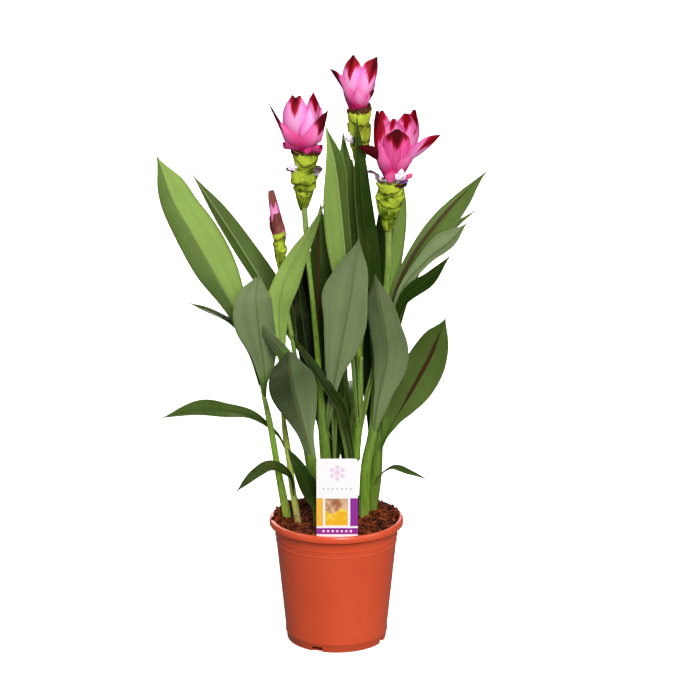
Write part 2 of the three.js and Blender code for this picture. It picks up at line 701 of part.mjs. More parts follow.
// The pink bracts grow from a short core whose peg stands in the top of the green part.
function headSolids(head) {
  const { foot, crown, crownCore, bracts, stalk, stalkRadii } = head;
  const frame = headFrame(foot, crown);
  const peg = [
    frame.at(0, 0, frame.height - CORE_PEG.below),
    frame.at(0, 0, frame.height + CORE_PEG.above),
  ];
  const bractFoot = {
    radius: Math.max(...crownCore) - BRACT_FOOT.inset,
    height: frame.height + BRACT_FOOT.rise,
  };
  const { rows, sides } = CORE_PEG;
  const pegSolid = (grow) => solid(stemGeometry(peg, crownCore, { rows, sides, grow }));
  const green = joined([
    solid(greenHeadGeometry(frame, head)),
    solid(stemGeometry(stalk, stalkRadii, STALK_GRID)),
  ]);
  const pink = joined([
    pegSolid(0),
    ...bracts.map((bract) => solid(bractGeometry(frame, bractFoot, bract))),
  ]);
  return { green: largestPiece(green.subtract(pegSolid(CLEARANCE))), pink: largestPiece(pink) };
}

// True flowers: small and tubular, each rooted under the lip of a green pouch.
// `root` is [azimuth, height, radius] in the frame of its head.
const florets = [
  { name: "white_flower_left", head: "left", root: [196, 36, 9], reach: 20, droop: 4, colour: "white" },
  { name: "wilted_flower_left", head: "left", root: [335, 33, 9], reach: 19, droop: 3, colour: "wilted" },
  { name: "pink_flower_top", head: "top", root: [200, 26, 7], reach: 17, droop: 2, colour: "white" },
  { name: "white_flower_right", head: "right", root: [318, 34, 8], reach: 19, droop: -3, colour: "white" },
  { name: "wilted_flower_right", head: "right", root: [190, 32, 7], reach: 18, droop: -4, colour: "wilted" },
];

function floretTube(frame, { root: [azimuth, height, radius], reach }, grow) {
  const { inset, drop, radii, mouth } = FLORET_TUBE;
  const path = [
    frame.at(radius - inset, azimuth, height - drop),
    frame.at(reach - mouth, azimuth, height),
  ];
  return solid(stemGeometry(path, radii, { sides: 6, rows: 1, grow }));
}

function floretSolid(frame, floret) {
  const { root: [azimuth, height], reach, droop } = floret;
  const { width, cup, turns } = FLORET_PETAL;
  const petals = turns.map((turn) => {
    const spread = FLORET_PETAL.spread * Math.sin(turn * DEG);
    const lift = FLORET_PETAL.lift * Math.cos(turn * DEG);
    return solid(bladeGeometry({
      rib: [
        frame.at(reach - 5, azimuth, height),
        frame.at(reach - 2, azimuth + spread * 3, height + lift * 0.6),
        frame.at(reach + 1, azimuth + spread * 6, height + lift - droop),
      ],
      width, cup, face: [0, -0.2, 1], outline: "bract", stalk: 0, rows: 2, cells: 2,
    }));
  });
  return joined([floretTube(frame, floret, 0), ...petals]);
}

// Assembly.
const colours = {
  pot: 0xc4532d, soil: 0x3b2218, label: 0xf2f0ec, leaf: 0x5d7d43, pouch: 0x8ea63a, pink: 0xe46fb4,
  white: 0xe9dcee, wilted: 0x5b3a52,
};

const stemOf = ({ stem, radii }, grow = 0) => (
  solid(stemGeometry(stem, radii, { grow, rows: STEM_ROWS }))
);
const socketOf = ({ stalk, stalkRadii }) => (
  solid(stemGeometry(stalk, stalkRadii, { ...STALK_GRID, grow: CLEARANCE }))
);
const leafSolid = (leaf) => solid(bladeGeometry({ baseThickness: PETIOLE_THICKNESS, ...leaf }));

addNode("pot", potSolid(), colours.pot, 0.4);

let soil = soilSolid().subtract(labelSolid(CLEARANCE));
for (const shoot of shoots) {
  soil = soil.subtract(stemOf(shoot, CLEARANCE));
}
addNode("potting_soil", largestPiece(soil), colours.soil, 0.95);
addNode("plant_label", labelSolid(), colours.label, 0.35);

for (const shoot of shoots) {
  let body = joined([stemOf(shoot), ...shoot.leaves.map(leafSolid)]);
  for (const head of heads.filter(({ shoot: holder }) => holder === shoot.name)) {
    body = body.subtract(socketOf(head));
  }
  addNode(shoot.name, largestPiece(body), colours.leaf, 0.6);
}

for (const head of heads) {
  const { green, pink } = headSolids(head);
  const frame = headFrame(head.foot, head.crown);
  const own = florets.filter(({ head: holder }) => holder === head.name);
  let body = green;
  for (const floret of own) {
    body = body.subtract(floretTube(frame, floret, CLEARANCE));
  }
  addNode(`${head.name}_green_bracts`, largestPiece(body), colours.pouch, 0.6);
  for (const floret of own) {
    addNode(floret.name, floretSolid(frame, floret), colours[floret.colour], 0.5);
  }
  addNode(`${head.name}_pink_bracts`, pink, colours.pink, 0.5);
}

export default plant;
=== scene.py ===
"""The looks of a potted siam tulip (Curcuma alismatifolia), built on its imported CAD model.

Metres, +Z up, origin on the floor under the middle of the pot, front towards -Y.
Sizes are written in millimetres and brought to metres by MM.
"""

import bisect
import math
import random
from functools import partialmethod

import bmesh
import bpy
from mathutils import Matrix, Vector, noise


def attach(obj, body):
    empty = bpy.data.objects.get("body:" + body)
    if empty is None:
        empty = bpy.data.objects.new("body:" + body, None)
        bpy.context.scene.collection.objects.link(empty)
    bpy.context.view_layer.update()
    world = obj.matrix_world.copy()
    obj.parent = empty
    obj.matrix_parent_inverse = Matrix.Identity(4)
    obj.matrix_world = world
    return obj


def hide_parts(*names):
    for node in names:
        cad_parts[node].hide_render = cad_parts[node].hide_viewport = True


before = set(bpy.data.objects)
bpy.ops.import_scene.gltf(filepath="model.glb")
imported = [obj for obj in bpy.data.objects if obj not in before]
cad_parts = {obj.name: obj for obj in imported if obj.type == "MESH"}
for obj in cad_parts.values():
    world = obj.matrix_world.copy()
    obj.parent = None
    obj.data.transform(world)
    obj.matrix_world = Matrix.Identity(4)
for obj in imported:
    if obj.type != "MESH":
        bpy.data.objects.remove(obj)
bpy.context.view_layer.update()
MM = 0.001

# Camera: stands 2.5 m in front of the pot, just above the height of the flowers, and
# looks down on it through a long lens, as the photograph was taken.
scene = bpy.context.scene
camera = bpy.data.objects.new("camera", bpy.data.cameras.new("camera"))
CAMERA_DIP = 15.26
camera.data.lens = 151.2
camera.data.sensor_width = 36
camera.location = (0.0122, -2.5, 0.95)
camera.rotation_euler = (math.radians(90 - CAMERA_DIP), 0, 0)
scene.collection.objects.link(camera)
scene.camera = camera


class Mark:
    """One socket of a material. Arithmetic on it adds Math nodes."""

    def __init__(self, finish, socket):
        self.finish = finish
        self.socket = socket

    def math(self, operation, *others):
        inputs = dict(enumerate((self, *others)))
        return self.finish.node("ShaderNodeMath", {"operation": operation}, inputs)

    __add__ = __radd__ = partialmethod(math, "ADD")
    __sub__ = partialmethod(math, "SUBTRACT")
    __mul__ = __rmul__ = partialmethod(math, "MULTIPLY")
    __truediv__ = partialmethod(math, "DIVIDE")
    __pow__ = partialmethod(math, "POWER")
    __abs__ = partialmethod(math, "ABSOLUTE")
    sine = partialmethod(math, "SINE")

    def rise(self, start, end, low=0.0, high=1.0):
        """Goes smoothly from low to high as this value goes from start to end."""
        inputs = {0: self, 1: start, 2: end, 3: low, 4: high}
        return self.finish.node("ShaderNodeMapRange", {"interpolation_type": "SMOOTHSTEP"}, inputs)

    def shades(self, first, second, start=0.3, end=0.7):
        """A colour that goes from the first to the second as this value goes from start to end."""
        return self.finish.mix(self.rise(start, end), first, second)


class Finish:
    """A Principled material whose other nodes are written as expressions."""

    def __init__(self, name, **fixed):
        self.material = bpy.data.materials.new(name)
        self.material.use_nodes = True
        self.shader = self.material.node_tree.nodes["Principled BSDF"]
        self.paint(**fixed)

    def node(self, kind, settings=None, inputs=None, output=0):
        made = self.material.node_tree.nodes.new(kind)
        for setting, value in (settings or {}).items():
            setattr(made, setting, value)
        for socket, value in (inputs or {}).items():
            self.feed(made.inputs[socket], value)
        return Mark(self, made.outputs[output])

    def feed(self, socket, value):
        if isinstance(value, Mark):
            self.material.node_tree.links.new(value.socket, socket)
        else:
            socket.default_value = value

    def paint(self, **sockets):
        for socket, value in sockets.items():
            self.feed(self.shader.inputs[socket.replace("_", " ")], value)

    def mix(self, share, first, second):
        """The first colour where share is 0, the second where it is 1; a tuple is as for shade."""
        colours = [shade(*colour) if isinstance(colour, tuple) else colour for colour in (first, second)]
        inputs = {0: share, 6: colours[0], 7: colours[1]}
        return self.node("ShaderNodeMix", {"data_type": "RGBA"}, inputs, output=2)

    def tinted(self, tint, amount):
        """A colour made lighter or darker by a value around 1."""
        return self.node("ShaderNodeVectorMath", {"operation": "SCALE"}, {0: tint, 3: amount})

    def stored(self, *names):
        """Values kept on the vertices of the mesh."""
        return [self.node("ShaderNodeAttribute", {"attribute_name": name}, output=2) for name in names]

    def place(self):
        return self.node("ShaderNodeTexCoord", output=3)

    def cloud(self, scale, detail=2.0, roughness=0.5, where=None):
        """Soft noise, over the place on the object where nothing else is said."""
        inputs = {"Vector": where or self.place(), "Scale": scale, "Detail": detail, "Roughness": roughness}
        return self.node("ShaderNodeTexNoise", inputs=inputs)

    def streaks(self, x, y, z=0.0, detail=3.0, roughness=0.6):
        """Noise over two or three other values, stretched by what they are multiplied by."""
        where = self.node("ShaderNodeCombineXYZ", inputs={0: x, 1: y, 2: z})
        return self.cloud(1.0, detail, roughness, where)

    def relief(self, height, depth):
        """Raised and sunken detail, with its depth in metres."""
        inputs = {"Strength": 1.0, "Distance": depth, "Height": height}
        self.paint(Normal=self.node("ShaderNodeBump", inputs=inputs))


def shade(red, green, blue):
    """A colour as it looks on screen, 0 to 255 each, for a shader socket."""
    channels = [value / 255 for value in (red, green, blue)]
    return [((c + 0.055) / 1.055) ** 2.4 if c > 0.04 else c / 12.92 for c in channels] + [1.0]


def placed(name, mesh):
    """An object at the origin that takes over a mesh."""
    data = bpy.data.meshes.new(name)
    mesh.to_mesh(data)
    mesh.free()
    piece = bpy.data.objects.new(name, data)
    scene.collection.objects.link(piece)
    return piece


# Floor and light: a white floor that shines a little, so that it stays even. A tall soft
# light just right of the camera gives the pot its upright highlight; weaker ones stand to
# the right, to the left, behind and above, and a faint glow comes from all round.
FLOOR_SIZE = 24
floor_mesh = bmesh.new()
bmesh.ops.create_grid(floor_mesh, x_segments=1, y_segments=1, size=FLOOR_SIZE / 2)
floor = placed("floor", floor_mesh)
paper = Finish("floor paper", Base_Color=shade(250, 250, 250), Roughness=0.9)
paper.paint(Emission_Color=(1, 1, 1, 1), Emission_Strength=0.9)
floor.data.materials.append(paper.material)
floor.visible_diffuse = False
floor.visible_glossy = False

scene.world = bpy.data.worlds.new("studio")
scene.world.use_nodes = True
glow = scene.world.node_tree.nodes["Background"]
glow.inputs["Color"].default_value = (1, 1, 1, 1)
glow.inputs["Strength"].default_value = 0.16
scene.view_settings.view_transform = "Standard"


def softbox(name, place, aim, width, height, power):
    """A square-cornered area light, in metres and watts."""
    lamp = bpy.data.objects.new(name, bpy.data.lights.new(name, "AREA"))
    lamp.data.shape = "RECTANGLE"
    lamp.data.size = width
    lamp.data.size_y = height
    lamp.data.energy = power
    lamp.location = place
    lamp.rotation_euler = (Vector(place) - Vector(aim)).to_track_quat("Z", "Y").to_euler()
    scene.collection.objects.link(lamp)


softbox("front light", (0.44, -2.35, 1.7), (0, 0, 0.25), 0.7, 1.6, 72)
softbox("right light", (2.1, -1.1, 1.3), (0, 0, 0.25), 0.9, 1.4, 16)
softbox("left light", (-2.1, -1.2, 1.2), (0, 0, 0.3), 0.9, 1.4, 7)
softbox("back light", (-0.3, 2.4, 1.5), (0, 0, 0.3), 2.0, 1.6, 62)
softbox("top light", (-0.5, -0.2, 2.2), (0, 0, 0.3), 1.2, 1.2, 10)


def blank(*names):
    """A new mesh that keeps these values on its vertices for its finish."""
    mesh = bmesh.new()
    for name in names:
        mesh.verts.layers.float.new(name)
    return mesh


def painted(mesh, vert, **values):
    for name, value in values.items():
        vert[mesh.verts.layers.float[name]] = value


def finished(name, mesh, slot, node, *finishes, smooth=True, thick=0, offset=0):
    """Ends a piece that stands for a CAD node. A sheet is given its thickness, with the
    last finish on its under side."""
    piece = placed(name, mesh)
    for polygon in piece.data.polygons:
        polygon.use_smooth = smooth
    for finish in finishes:
        piece.data.materials.append(finish.material)
    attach(piece, "root")
    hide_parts(node)
    if thick:
        wall = piece.modifiers.new("thickness", "SOLIDIFY")
        wall.thickness = thick * MM
        wall.offset = offset
        wall.material_offset = len(finishes) - 1
    return piece


def lathe(mesh, outline, steps):
    """A body of revolution from an outline of radius and height."""
    corners = [mesh.verts.new((radius * MM, 0, height * MM)) for radius, height in outline]
    edges = [mesh.edges.new(pair) for pair in zip(corners, corners[1:])]
    around = {"cent": (0, 0, 0), "axis": (0, 0, 1), "angle": math.tau, "use_merge": True}
    bmesh.ops.spin(mesh, geom=corners + edges, steps=steps, **around)
    bmesh.ops.remove_doubles(mesh, verts=mesh.verts, dist=0.01 * MM)
    bmesh.ops.recalc_face_normals(mesh, faces=mesh.faces)


# Pot: one moulding of terracotta-coloured plastic with a rolled lip, two fine raised rings
# below it, a foot line, and four drain notches in the corner of wall and floor.
POT_HEIGHT = 114
LIP_RADIUS = 60
SHOULDER = POT_HEIGHT - 6.4
SHOULDER_RADIUS = 55.4
BASE_RADIUS = 44.5
WALL = 1.6
POT_FLOOR = 2.2
NOTCHES = 4
NOTCH_SIZE = (10, 7, 10)
NOTCH_TURN = -22.6
SHARP_ANGLE = 32


def wall_radius(height):
    return BASE_RADIUS + (SHOULDER_RADIUS - BASE_RADIUS) * height / SHOULDER


def ring(height, proud, half=0.5):
    """A fine moulded ring: three points of the outline."""
    steps = [(-half, 0), (0, proud), (half, 0)]
    return [(wall_radius(height + rise) + out, height + rise) for rise, out in steps]


foot = [(0, 0), (BASE_RADIUS - 1.4, 0), (BASE_RADIUS - 0.4, 0.4), (BASE_RADIUS, 1.4)]
foot_line = [(wall_radius(6.6), 6.6), (wall_radius(7.2) + 0.5, 7.3), (wall_radius(8.4) + 0.6, 8.4)]
lip = [(-1, -6.4), (-0.2, -5.9), (0, -4.8), (-0.1, -2.2), (-0.8, -0.6), (-2, 0), (-3.4, -0.4), (-4.4, -2)]
pot_outline = [
    *foot,
    *foot_line,
    (wall_radius(12), 12),
    *ring(92.6, 0.5),
    *ring(98, 0.6),
    (wall_radius(SHOULDER - 1), SHOULDER - 1),
    (wall_radius(SHOULDER) + 0.4, SHOULDER - 0.1),
    *[(LIP_RADIUS + out, POT_HEIGHT + rise) for out, rise in lip],
    (wall_radius(SHOULDER) - WALL, SHOULDER - 1),
    (wall_radius(POT_FLOOR) - WALL, POT_FLOOR),
    (0, POT_FLOOR),
]
pot_mesh = blank()
lathe(pot_mesh, pot_outline, 128)

plastic = Finish("terracotta plastic", Specular_IOR_Level=0.62)
blotches = plastic.cloud(22, 4)
grain = plastic.cloud(900, 3, 0.6)
dust = plastic.cloud(240, 5, 0.7).rise(0.62, 0.8)
terracotta = blotches.shades((220, 80, 42), (224, 86, 47))
plastic.paint(Base_Color=plastic.mix(dust * 0.16, terracotta, (226, 158, 128)))
plastic.paint(Roughness=grain * 0.1 + 0.27 + dust * 0.12)
plastic.relief(grain + blotches * 2, 0.00006)

pot = finished("nursery_pot", pot_mesh, "pot_plastic", "pot", plastic)
cutter_mesh = bmesh.new()
for corner in range(NOTCHES):
    cube = bmesh.ops.create_cube(cutter_mesh, size=1)["verts"]
    bmesh.ops.scale(cutter_mesh, verts=cube, vec=Vector(NOTCH_SIZE) * MM)
    bmesh.ops.translate(cutter_mesh, verts=cube, vec=(0, -BASE_RADIUS * MM, 0))
    turn = Matrix.Rotation(math.radians(NOTCH_TURN + 360 / NOTCHES * corner), 3, "Z")
    bmesh.ops.rotate(cutter_mesh, verts=cube, cent=(0, 0, 0), matrix=turn)
cutter = placed("notches", cutter_mesh)
carve = pot.modifiers.new("notches", "BOOLEAN")
carve.operation = "DIFFERENCE"
carve.object = cutter
bpy.context.view_layer.update()
carved = bpy.data.meshes.new_from_object(pot.evaluated_get(bpy.context.evaluated_depsgraph_get()))
pot.modifiers.clear()
pot.data = carved
pot.data.name = "nursery_pot"
pot.data.set_sharp_from_angle(angle=math.radians(SHARP_ANGLE))
bpy.data.objects.remove(cutter)


# Soil: dark reddish peat with coir fibres, packed round the shoots, lower behind the front
# of the rim and heaped over it at the back and the right, with loose crumbs and threads.
SOIL_FRONT = 108
SOIL_BACK = 116.5
SOIL_EDGE = 106
SOIL_FLOOR = 2.5
SOIL_GAP = 0.3
SOIL_RINGS = 26
CRUMBS = 2600
RIM_CRUMBS = 260
FIBRES = 420
BATCH = 60


def eased(value, start, end):
    t = min(max((value - start) / (end - start), 0), 1)
    return t * t * (3 - 2 * t)


def smooth(before, start, end, after, t):
    """A smooth value between start and end that heads on from before to after."""
    a = 2 * start
    b = end - before
    c = 2 * before - 5 * start + 4 * end - after
    d = 3 * start - before - 3 * end + after
    return 0.5 * (a + b * t + c * t**2 + d * t**3)


def between(values, share):
    """A smooth value between evenly spaced ones."""
    place = share * (len(values) - 1)
    step = min(int(place), len(values) - 2)
    before = values[max(step - 1, 0)]
    after = values[min(step + 2, len(values) - 1)]
    return smooth(before, values[step], values[step + 1], after, place - step)


class Rib:
    """A smooth line through a few points in millimetres, walked by share of its length."""

    def __init__(self, points, steps=14):
        knots = [Vector(point) for point in points]
        knots = [2 * knots[0] - knots[1], *knots, 2 * knots[-1] - knots[-2]]
        fours = zip(knots, knots[1:], knots[2:], knots[3:])
        self.places = [smooth(*four, step / steps) for four in fours for step in range(steps)]
        self.places.append(knots[-2])
        self.walked = [0.0]
        for start, end in zip(self.places, self.places[1:]):
            self.walked.append(self.walked[-1] + (end - start).length)

    def at(self, share):
        """The place and the heading at a share of the length."""
        goal = share * self.walked[-1]
        step = min(max(bisect.bisect_left(self.walked, goal), 1), len(self.walked) - 1)
        part = (goal - self.walked[step - 1]) / (self.walked[step] - self.walked[step - 1])
        start, end = self.places[step - 1], self.places[step]
        before = self.places[max(step - 2, 0)]
        after = self.places[min(step + 1, len(self.places) - 1)]
        heading = (end - before).lerp(after - start, part)
        return start.lerp(end, part), heading.normalized()


def tube(mesh, points, radii, sides=16, rows=24, ridge=0.0, **paint):
    """A round closed stem or thread along a rib, its radii evenly spaced from foot to tip."""
    rib = Rib(points)
    grid = bmesh.ops.create_grid(mesh, x_segments=sides, y_segments=rows, size=1)["verts"]
    for vert in grid:
        turn = (vert.co.x + 1) * math.pi
        share = min(max((vert.co.y + 1) / 2, 0), 1)
        centre, heading = rib.at(share)
        across = Vector((0, 1, 0)).cross(heading).normalized()
        inward = heading.cross(across)
        groove = 1 + ridge * math.cos(3 * turn + 5 * share)
        out = across * math.cos(turn) + inward * math.sin(turn)
        vert.co = (centre + out * between(radii, share) * groove) * MM
        painted(mesh, vert, **{"along": share, **paint})
    bmesh.ops.remove_doubles(mesh, verts=grid, dist=0.002 * MM)
    grid = [vert for vert in grid if vert.is_valid]
    rims = {edge for vert in grid for edge in vert.link_edges if edge.is_boundary}
    bmesh.ops.holes_fill(mesh, edges=list(rims), sides=sides)
    faces = {face for vert in grid for face in vert.link_faces}
    bmesh.ops.recalc_face_normals(mesh, faces=list(faces))


def soil_top(x, y):
    """The height of the soil's surface, which falls to the wall of the pot in front."""
    heap = eased(y + 0.35 * x, -34, 34)
    wide = math.sin(x * 0.21 + 1.3) * math.cos(y * 0.24 - 0.4) + 0.6 * math.sin(x * 0.43 - y * 0.37)
    edge = eased(math.hypot(x, y) / soil_edge, 0.88, 1)
    fall = 1 - eased(y + 0.35 * x, -10, 24)
    return SOIL_FRONT + (SOIL_BACK - SOIL_FRONT) * heap + 1.1 * wide - edge * (4 * fall + 1)


soil_mesh = blank("along", "crumb")
soil_edge = wall_radius(SOIL_EDGE) - WALL - SOIL_GAP
rings = [(soil_edge * step / SOIL_RINGS, SOIL_EDGE) for step in range(SOIL_RINGS, -1, -1)]
lathe(soil_mesh, [(0, SOIL_FLOOR), (wall_radius(SOIL_FLOOR) - WALL - SOIL_GAP, SOIL_FLOOR), *rings], 140)
for vert in soil_mesh.verts:
    if vert.co.z > (SOIL_EDGE - 1) * MM:
        x, y = vert.co.x / MM, vert.co.y / MM
        lumps = noise.fractal(Vector((x, y, 0)) * 0.16, 0.9, 2.2, 5)
        vert.co.z = (soil_top(x, y) + 1.5 * lumps - 0.6) * MM
    painted(soil_mesh, vert, crumb=0.25)


def strew(count, make):
    """Adds many small shapes to the soil, a few at a time so that each operator is quick."""
    for start in range(0, count, BATCH):
        batch = blank("along", "crumb")
        for _ in range(min(BATCH, count - start)):
            make(batch)
        data = bpy.data.meshes.new("batch")
        batch.to_mesh(data)
        batch.free()
        soil_mesh.from_mesh(data)
        bpy.data.meshes.remove(data)


chance = random.Random(4)


def anywhere(reach):
    """A random place within a distance of the middle of the pot."""
    radius = reach * math.sqrt(chance.random())
    angle = chance.uniform(0, math.tau)
    return radius * math.cos(angle), radius * math.sin(angle)


def lump(batch, centre, size):
    crumb = bmesh.ops.create_icosphere(batch, subdivisions=1, radius=size * MM)["verts"]
    stretch = Vector([chance.uniform(0.5, 1.3) for _ in range(3)])
    tone = chance.random()
    for vert in crumb:
        bump = 1 + 0.45 * noise.noise(vert.co / MM * 0.9 + centre)
        vert.co = Vector([c * s * bump for c, s in zip(vert.co, stretch)]) + centre * MM
        painted(batch, vert, crumb=tone)


def loose_crumb(batch):
    x, y = anywhere(soil_edge - 1)
    size = chance.triangular(0.5, 2.6, 0.8)
    lump(batch, Vector((x, y, soil_top(x, y) + chance.uniform(-0.6, 0.9))), size)


def rim_crumb(batch):
    """Soil that was heaped onto the rim at the back and the right."""
    angle = math.radians(chance.triangular(-14, 196, 70))
    radius = chance.triangular(52, LIP_RADIUS - 1.6, 54)
    size = chance.triangular(0.6, 2.4, 1.3)
    height = POT_HEIGHT + size * 0.35 + max(0, 56 - radius) * chance.uniform(0, 0.5)
    lump(batch, Vector((radius * math.cos(angle), radius * math.sin(angle), height)), size)


def fibre(batch):
    start = Vector((*anywhere(soil_edge - 2), 0))
    heading = Vector((chance.uniform(-1, 1), chance.uniform(-1, 1), 0)).normalized()
    length = chance.triangular(4, 16, 7)
    curl = Matrix.Rotation(chance.uniform(-0.9, 0.9), 3, "Z")
    line = []
    for _ in range(4):
        spread = math.hypot(start.x, start.y)
        if spread > soil_edge - 1:
            start *= (soil_edge - 1) / spread
        lift = chance.uniform(0.4, 1.4) + (chance.random() < 0.12) * 2
        line.append((start.x, start.y, soil_top(start.x, start.y) + lift))
        start = start + heading * length / 3
        heading.rotate(curl)
    thick = chance.uniform(0.14, 0.34)
    tube(batch, line, [thick, thick, thick * 0.4], sides=4, rows=7, crumb=chance.uniform(0.75, 1.3))


strew(CRUMBS, loose_crumb)
strew(RIM_CRUMBS, rim_crumb)
strew(FIBRES, fibre)

# Longer pale roots and the tuft of fibres that stands at the left of the rim.
long_fibres = [
    [(-34, -22, 109.5), (-29, -19, 113), (-23, -21, 113.5), (-18, -25, 111)],
    [(38, -8, 113.5), (41, -12, 115), (45, -16, 114), (47, -20, 111.5)],
    [(40, -20, 111), (45, -24, 112.6), (50, -21, 112.8), (51, -16, 112)],
    [(34, 6, 115), (38, 4, 117.4), (43, 7, 117.6), (47, 4, 116)],
    [(-52, 12, 111), (-54, 13, 116), (-54.5, 12, 120), (-53, 11, 122)],
    [(-51, 10, 111), (-51.5, 11, 117), (-50, 12, 121), (-51.5, 12, 124)],
    [(-49, 14, 112), (-51, 15, 116), (-54, 15, 118.5), (-56, 14, 119)],
    [(-47, 12, 112), (-48, 12, 117), (-49.5, 12, 120), (-49, 13, 122)],
]
for line in long_fibres:
    tube(soil_mesh, line, [0.4, 0.45, 0.35, 0.15], sides=5, rows=14, crumb=1.1)

earth = Finish("peat and coir", Specular_IOR_Level=0.2)
patches = earth.cloud(60, 4, 0.6)
grit = earth.cloud(700, 4, 0.65)
tone = earth.stored("crumb")[0] + grit * 0.5 - 0.25
peat = tone.shades((28, 8, 1), (92, 32, 7), 0.05, 0.65)
coir = tone.shades(peat, (160, 78, 30), 0.7, 1.15)
earth.paint(Base_Color=earth.tinted(coir, patches * 0.9 + 0.62), Roughness=grit * 0.3 + 0.62)
earth.relief(grit + patches, 0.0012)
finished("peat_soil", soil_mesh, "peat", "potting_soil", earth, smooth=False)


# Label: a thin white plastic card on a pointed stake, pushed into the soil just behind the
# front of the rim. Its print is a plain design: a flower made of dots over coloured blocks.
CARD_X = 1
CARD_Y = -49.4
CARD_HALF = 18.2
CARD_BOTTOM = 106
CARD_TOP = 183
STAKE_TIP = 78
CARD_THICKNESS = 0.6
CORNER_RADIUS = 3
BOW = 0.54
LEVEL_STEP = 6
left_edge = [(-CARD_HALF, CARD_TOP), (-CARD_HALF, CARD_BOTTOM), (-2, STAKE_TIP)]
outline = left_edge + [(-x, z) for x, z in reversed(left_edge)]
card_mesh = bmesh.new()
corners = [card_mesh.verts.new(((CARD_X + x) * MM, CARD_Y * MM, z * MM)) for x, z in outline]
card_mesh.faces.new(corners)
rounding = {"offset": CORNER_RADIUS * MM, "affect": "VERTICES", "segments": 6, "profile": 0.5, "material": -1}
bmesh.ops.bevel(card_mesh, geom=[corners[0], corners[-1]], **rounding)
for level in range(CARD_BOTTOM + 4, CARD_TOP, LEVEL_STEP):
    geometry = card_mesh.verts[:] + card_mesh.edges[:] + card_mesh.faces[:]
    bmesh.ops.bisect_plane(card_mesh, geom=geometry, plane_co=(0, 0, level * MM), plane_no=(0, 0, 1))
for vert in card_mesh.verts:
    height = max(vert.co.z / MM - CARD_BOTTOM, 0)
    vert.co.y -= BOW * math.sin(math.pi * height / (CARD_TOP - CARD_BOTTOM)) * MM
bmesh.ops.recalc_face_normals(card_mesh, faces=card_mesh.faces)
bmesh.ops.solidify(card_mesh, geom=card_mesh.faces[:], thickness=CARD_THICKNESS * MM)
card_mesh.normal_update()
for face in card_mesh.faces:
    face.material_index = 0 if face.normal.y < -0.5 else 1

card = Finish("printed card", Roughness=0.3, Specular_IOR_Level=0.5, Coat_Weight=0.2, Coat_Roughness=0.15)
parts = card.node("ShaderNodeSeparateXYZ", inputs={0: card.place()})
across = parts / MM - CARD_X
height = Mark(card, parts.socket.node.outputs[2]) / MM
SOFT = 0.15


def band(value, low, high):
    return value.rise(low - SOFT, low + SOFT) * value.rise(high - SOFT, high + SOFT, 1, 0)


def block(left, right, low, high):
    """A printed rectangle on the card, in millimetres from its middle and above the floor."""
    return band(across, left, right) * band(height, low, high)


def disc(x, z, radius):
    apart = (across - x) ** 2 + (height - z) ** 2
    return (apart**0.5).rise(radius - SOFT, radius + SOFT, 1, 0)


def row_of_dots(z, radius):
    dots = disc(-12, z, radius)
    for x in range(-8, 13, 4):
        dots = dots + disc(x, z, radius)
    return dots


plum = shade(150, 46, 156)
grain = card.cloud(130, 3, 0.6)
hill = (across * 0.35).sine() * 2.2 + 135
sky = grain.shades((168, 104, 66), (232, 196, 156), 0.35, 0.65)
meadow = grain.shades((242, 186, 34), (255, 216, 84), 0.4, 0.6)
picture = card.mix((height - hill).rise(-0.4, 0.4), meadow, sky)
flower_dots = disc(0, 170, 2.6)
for turn in range(6):
    angle = math.radians(60 * turn)
    flower_dots = flower_dots + disc(5.2 * math.sin(angle), 170 + 5.2 * math.cos(angle), 1.9)
ink = card.mix(block(-CARD_HALF, -12.5, 121.2, 147), (252, 250, 252), (248, 188, 66))
ink = card.mix(block(11.4, CARD_HALF + 1, 121.2, 147), ink, plum)
ink = card.mix(block(-10.6, 9.4, 121.8, 146.6), ink, picture)
ink = card.mix(block(-CARD_HALF, CARD_HALF + 1, 113.6, 119.4), ink, plum)
ink = card.mix(flower_dots * 0.42, ink, (226, 130, 196))
ink = card.mix(row_of_dots(116.5, 1), ink, (250, 246, 250))
ink = card.mix(row_of_dots(155.5, 0.8) * 0.5, ink, (120, 120, 128))
card.paint(Base_Color=ink)
plain = Finish("plain card", Roughness=0.35, Specular_IOR_Level=0.5)
plain.paint(Base_Color=plain.cloud(300, 3).shades((244, 242, 244), (252, 250, 252)))
finished("card_label", card_mesh, "label_card", "plant_label", card, plain, smooth=False)


# Leafy shoots: each a false stem of tightly wrapped leaf sheaths, with long pointed leaves
# on channelled stalks. Upper sides are green, some with a dark red midrib; undersides are
# grey-green. All grew as one piece from a rhizome in the soil.
LEAF_THICKNESS = 0.5
NARROWEST = 0.25
EVEN = [0.14, 0.16, 0.28, 0.62, 0.9, 1.0, 0.86, 0.52, 0.02]


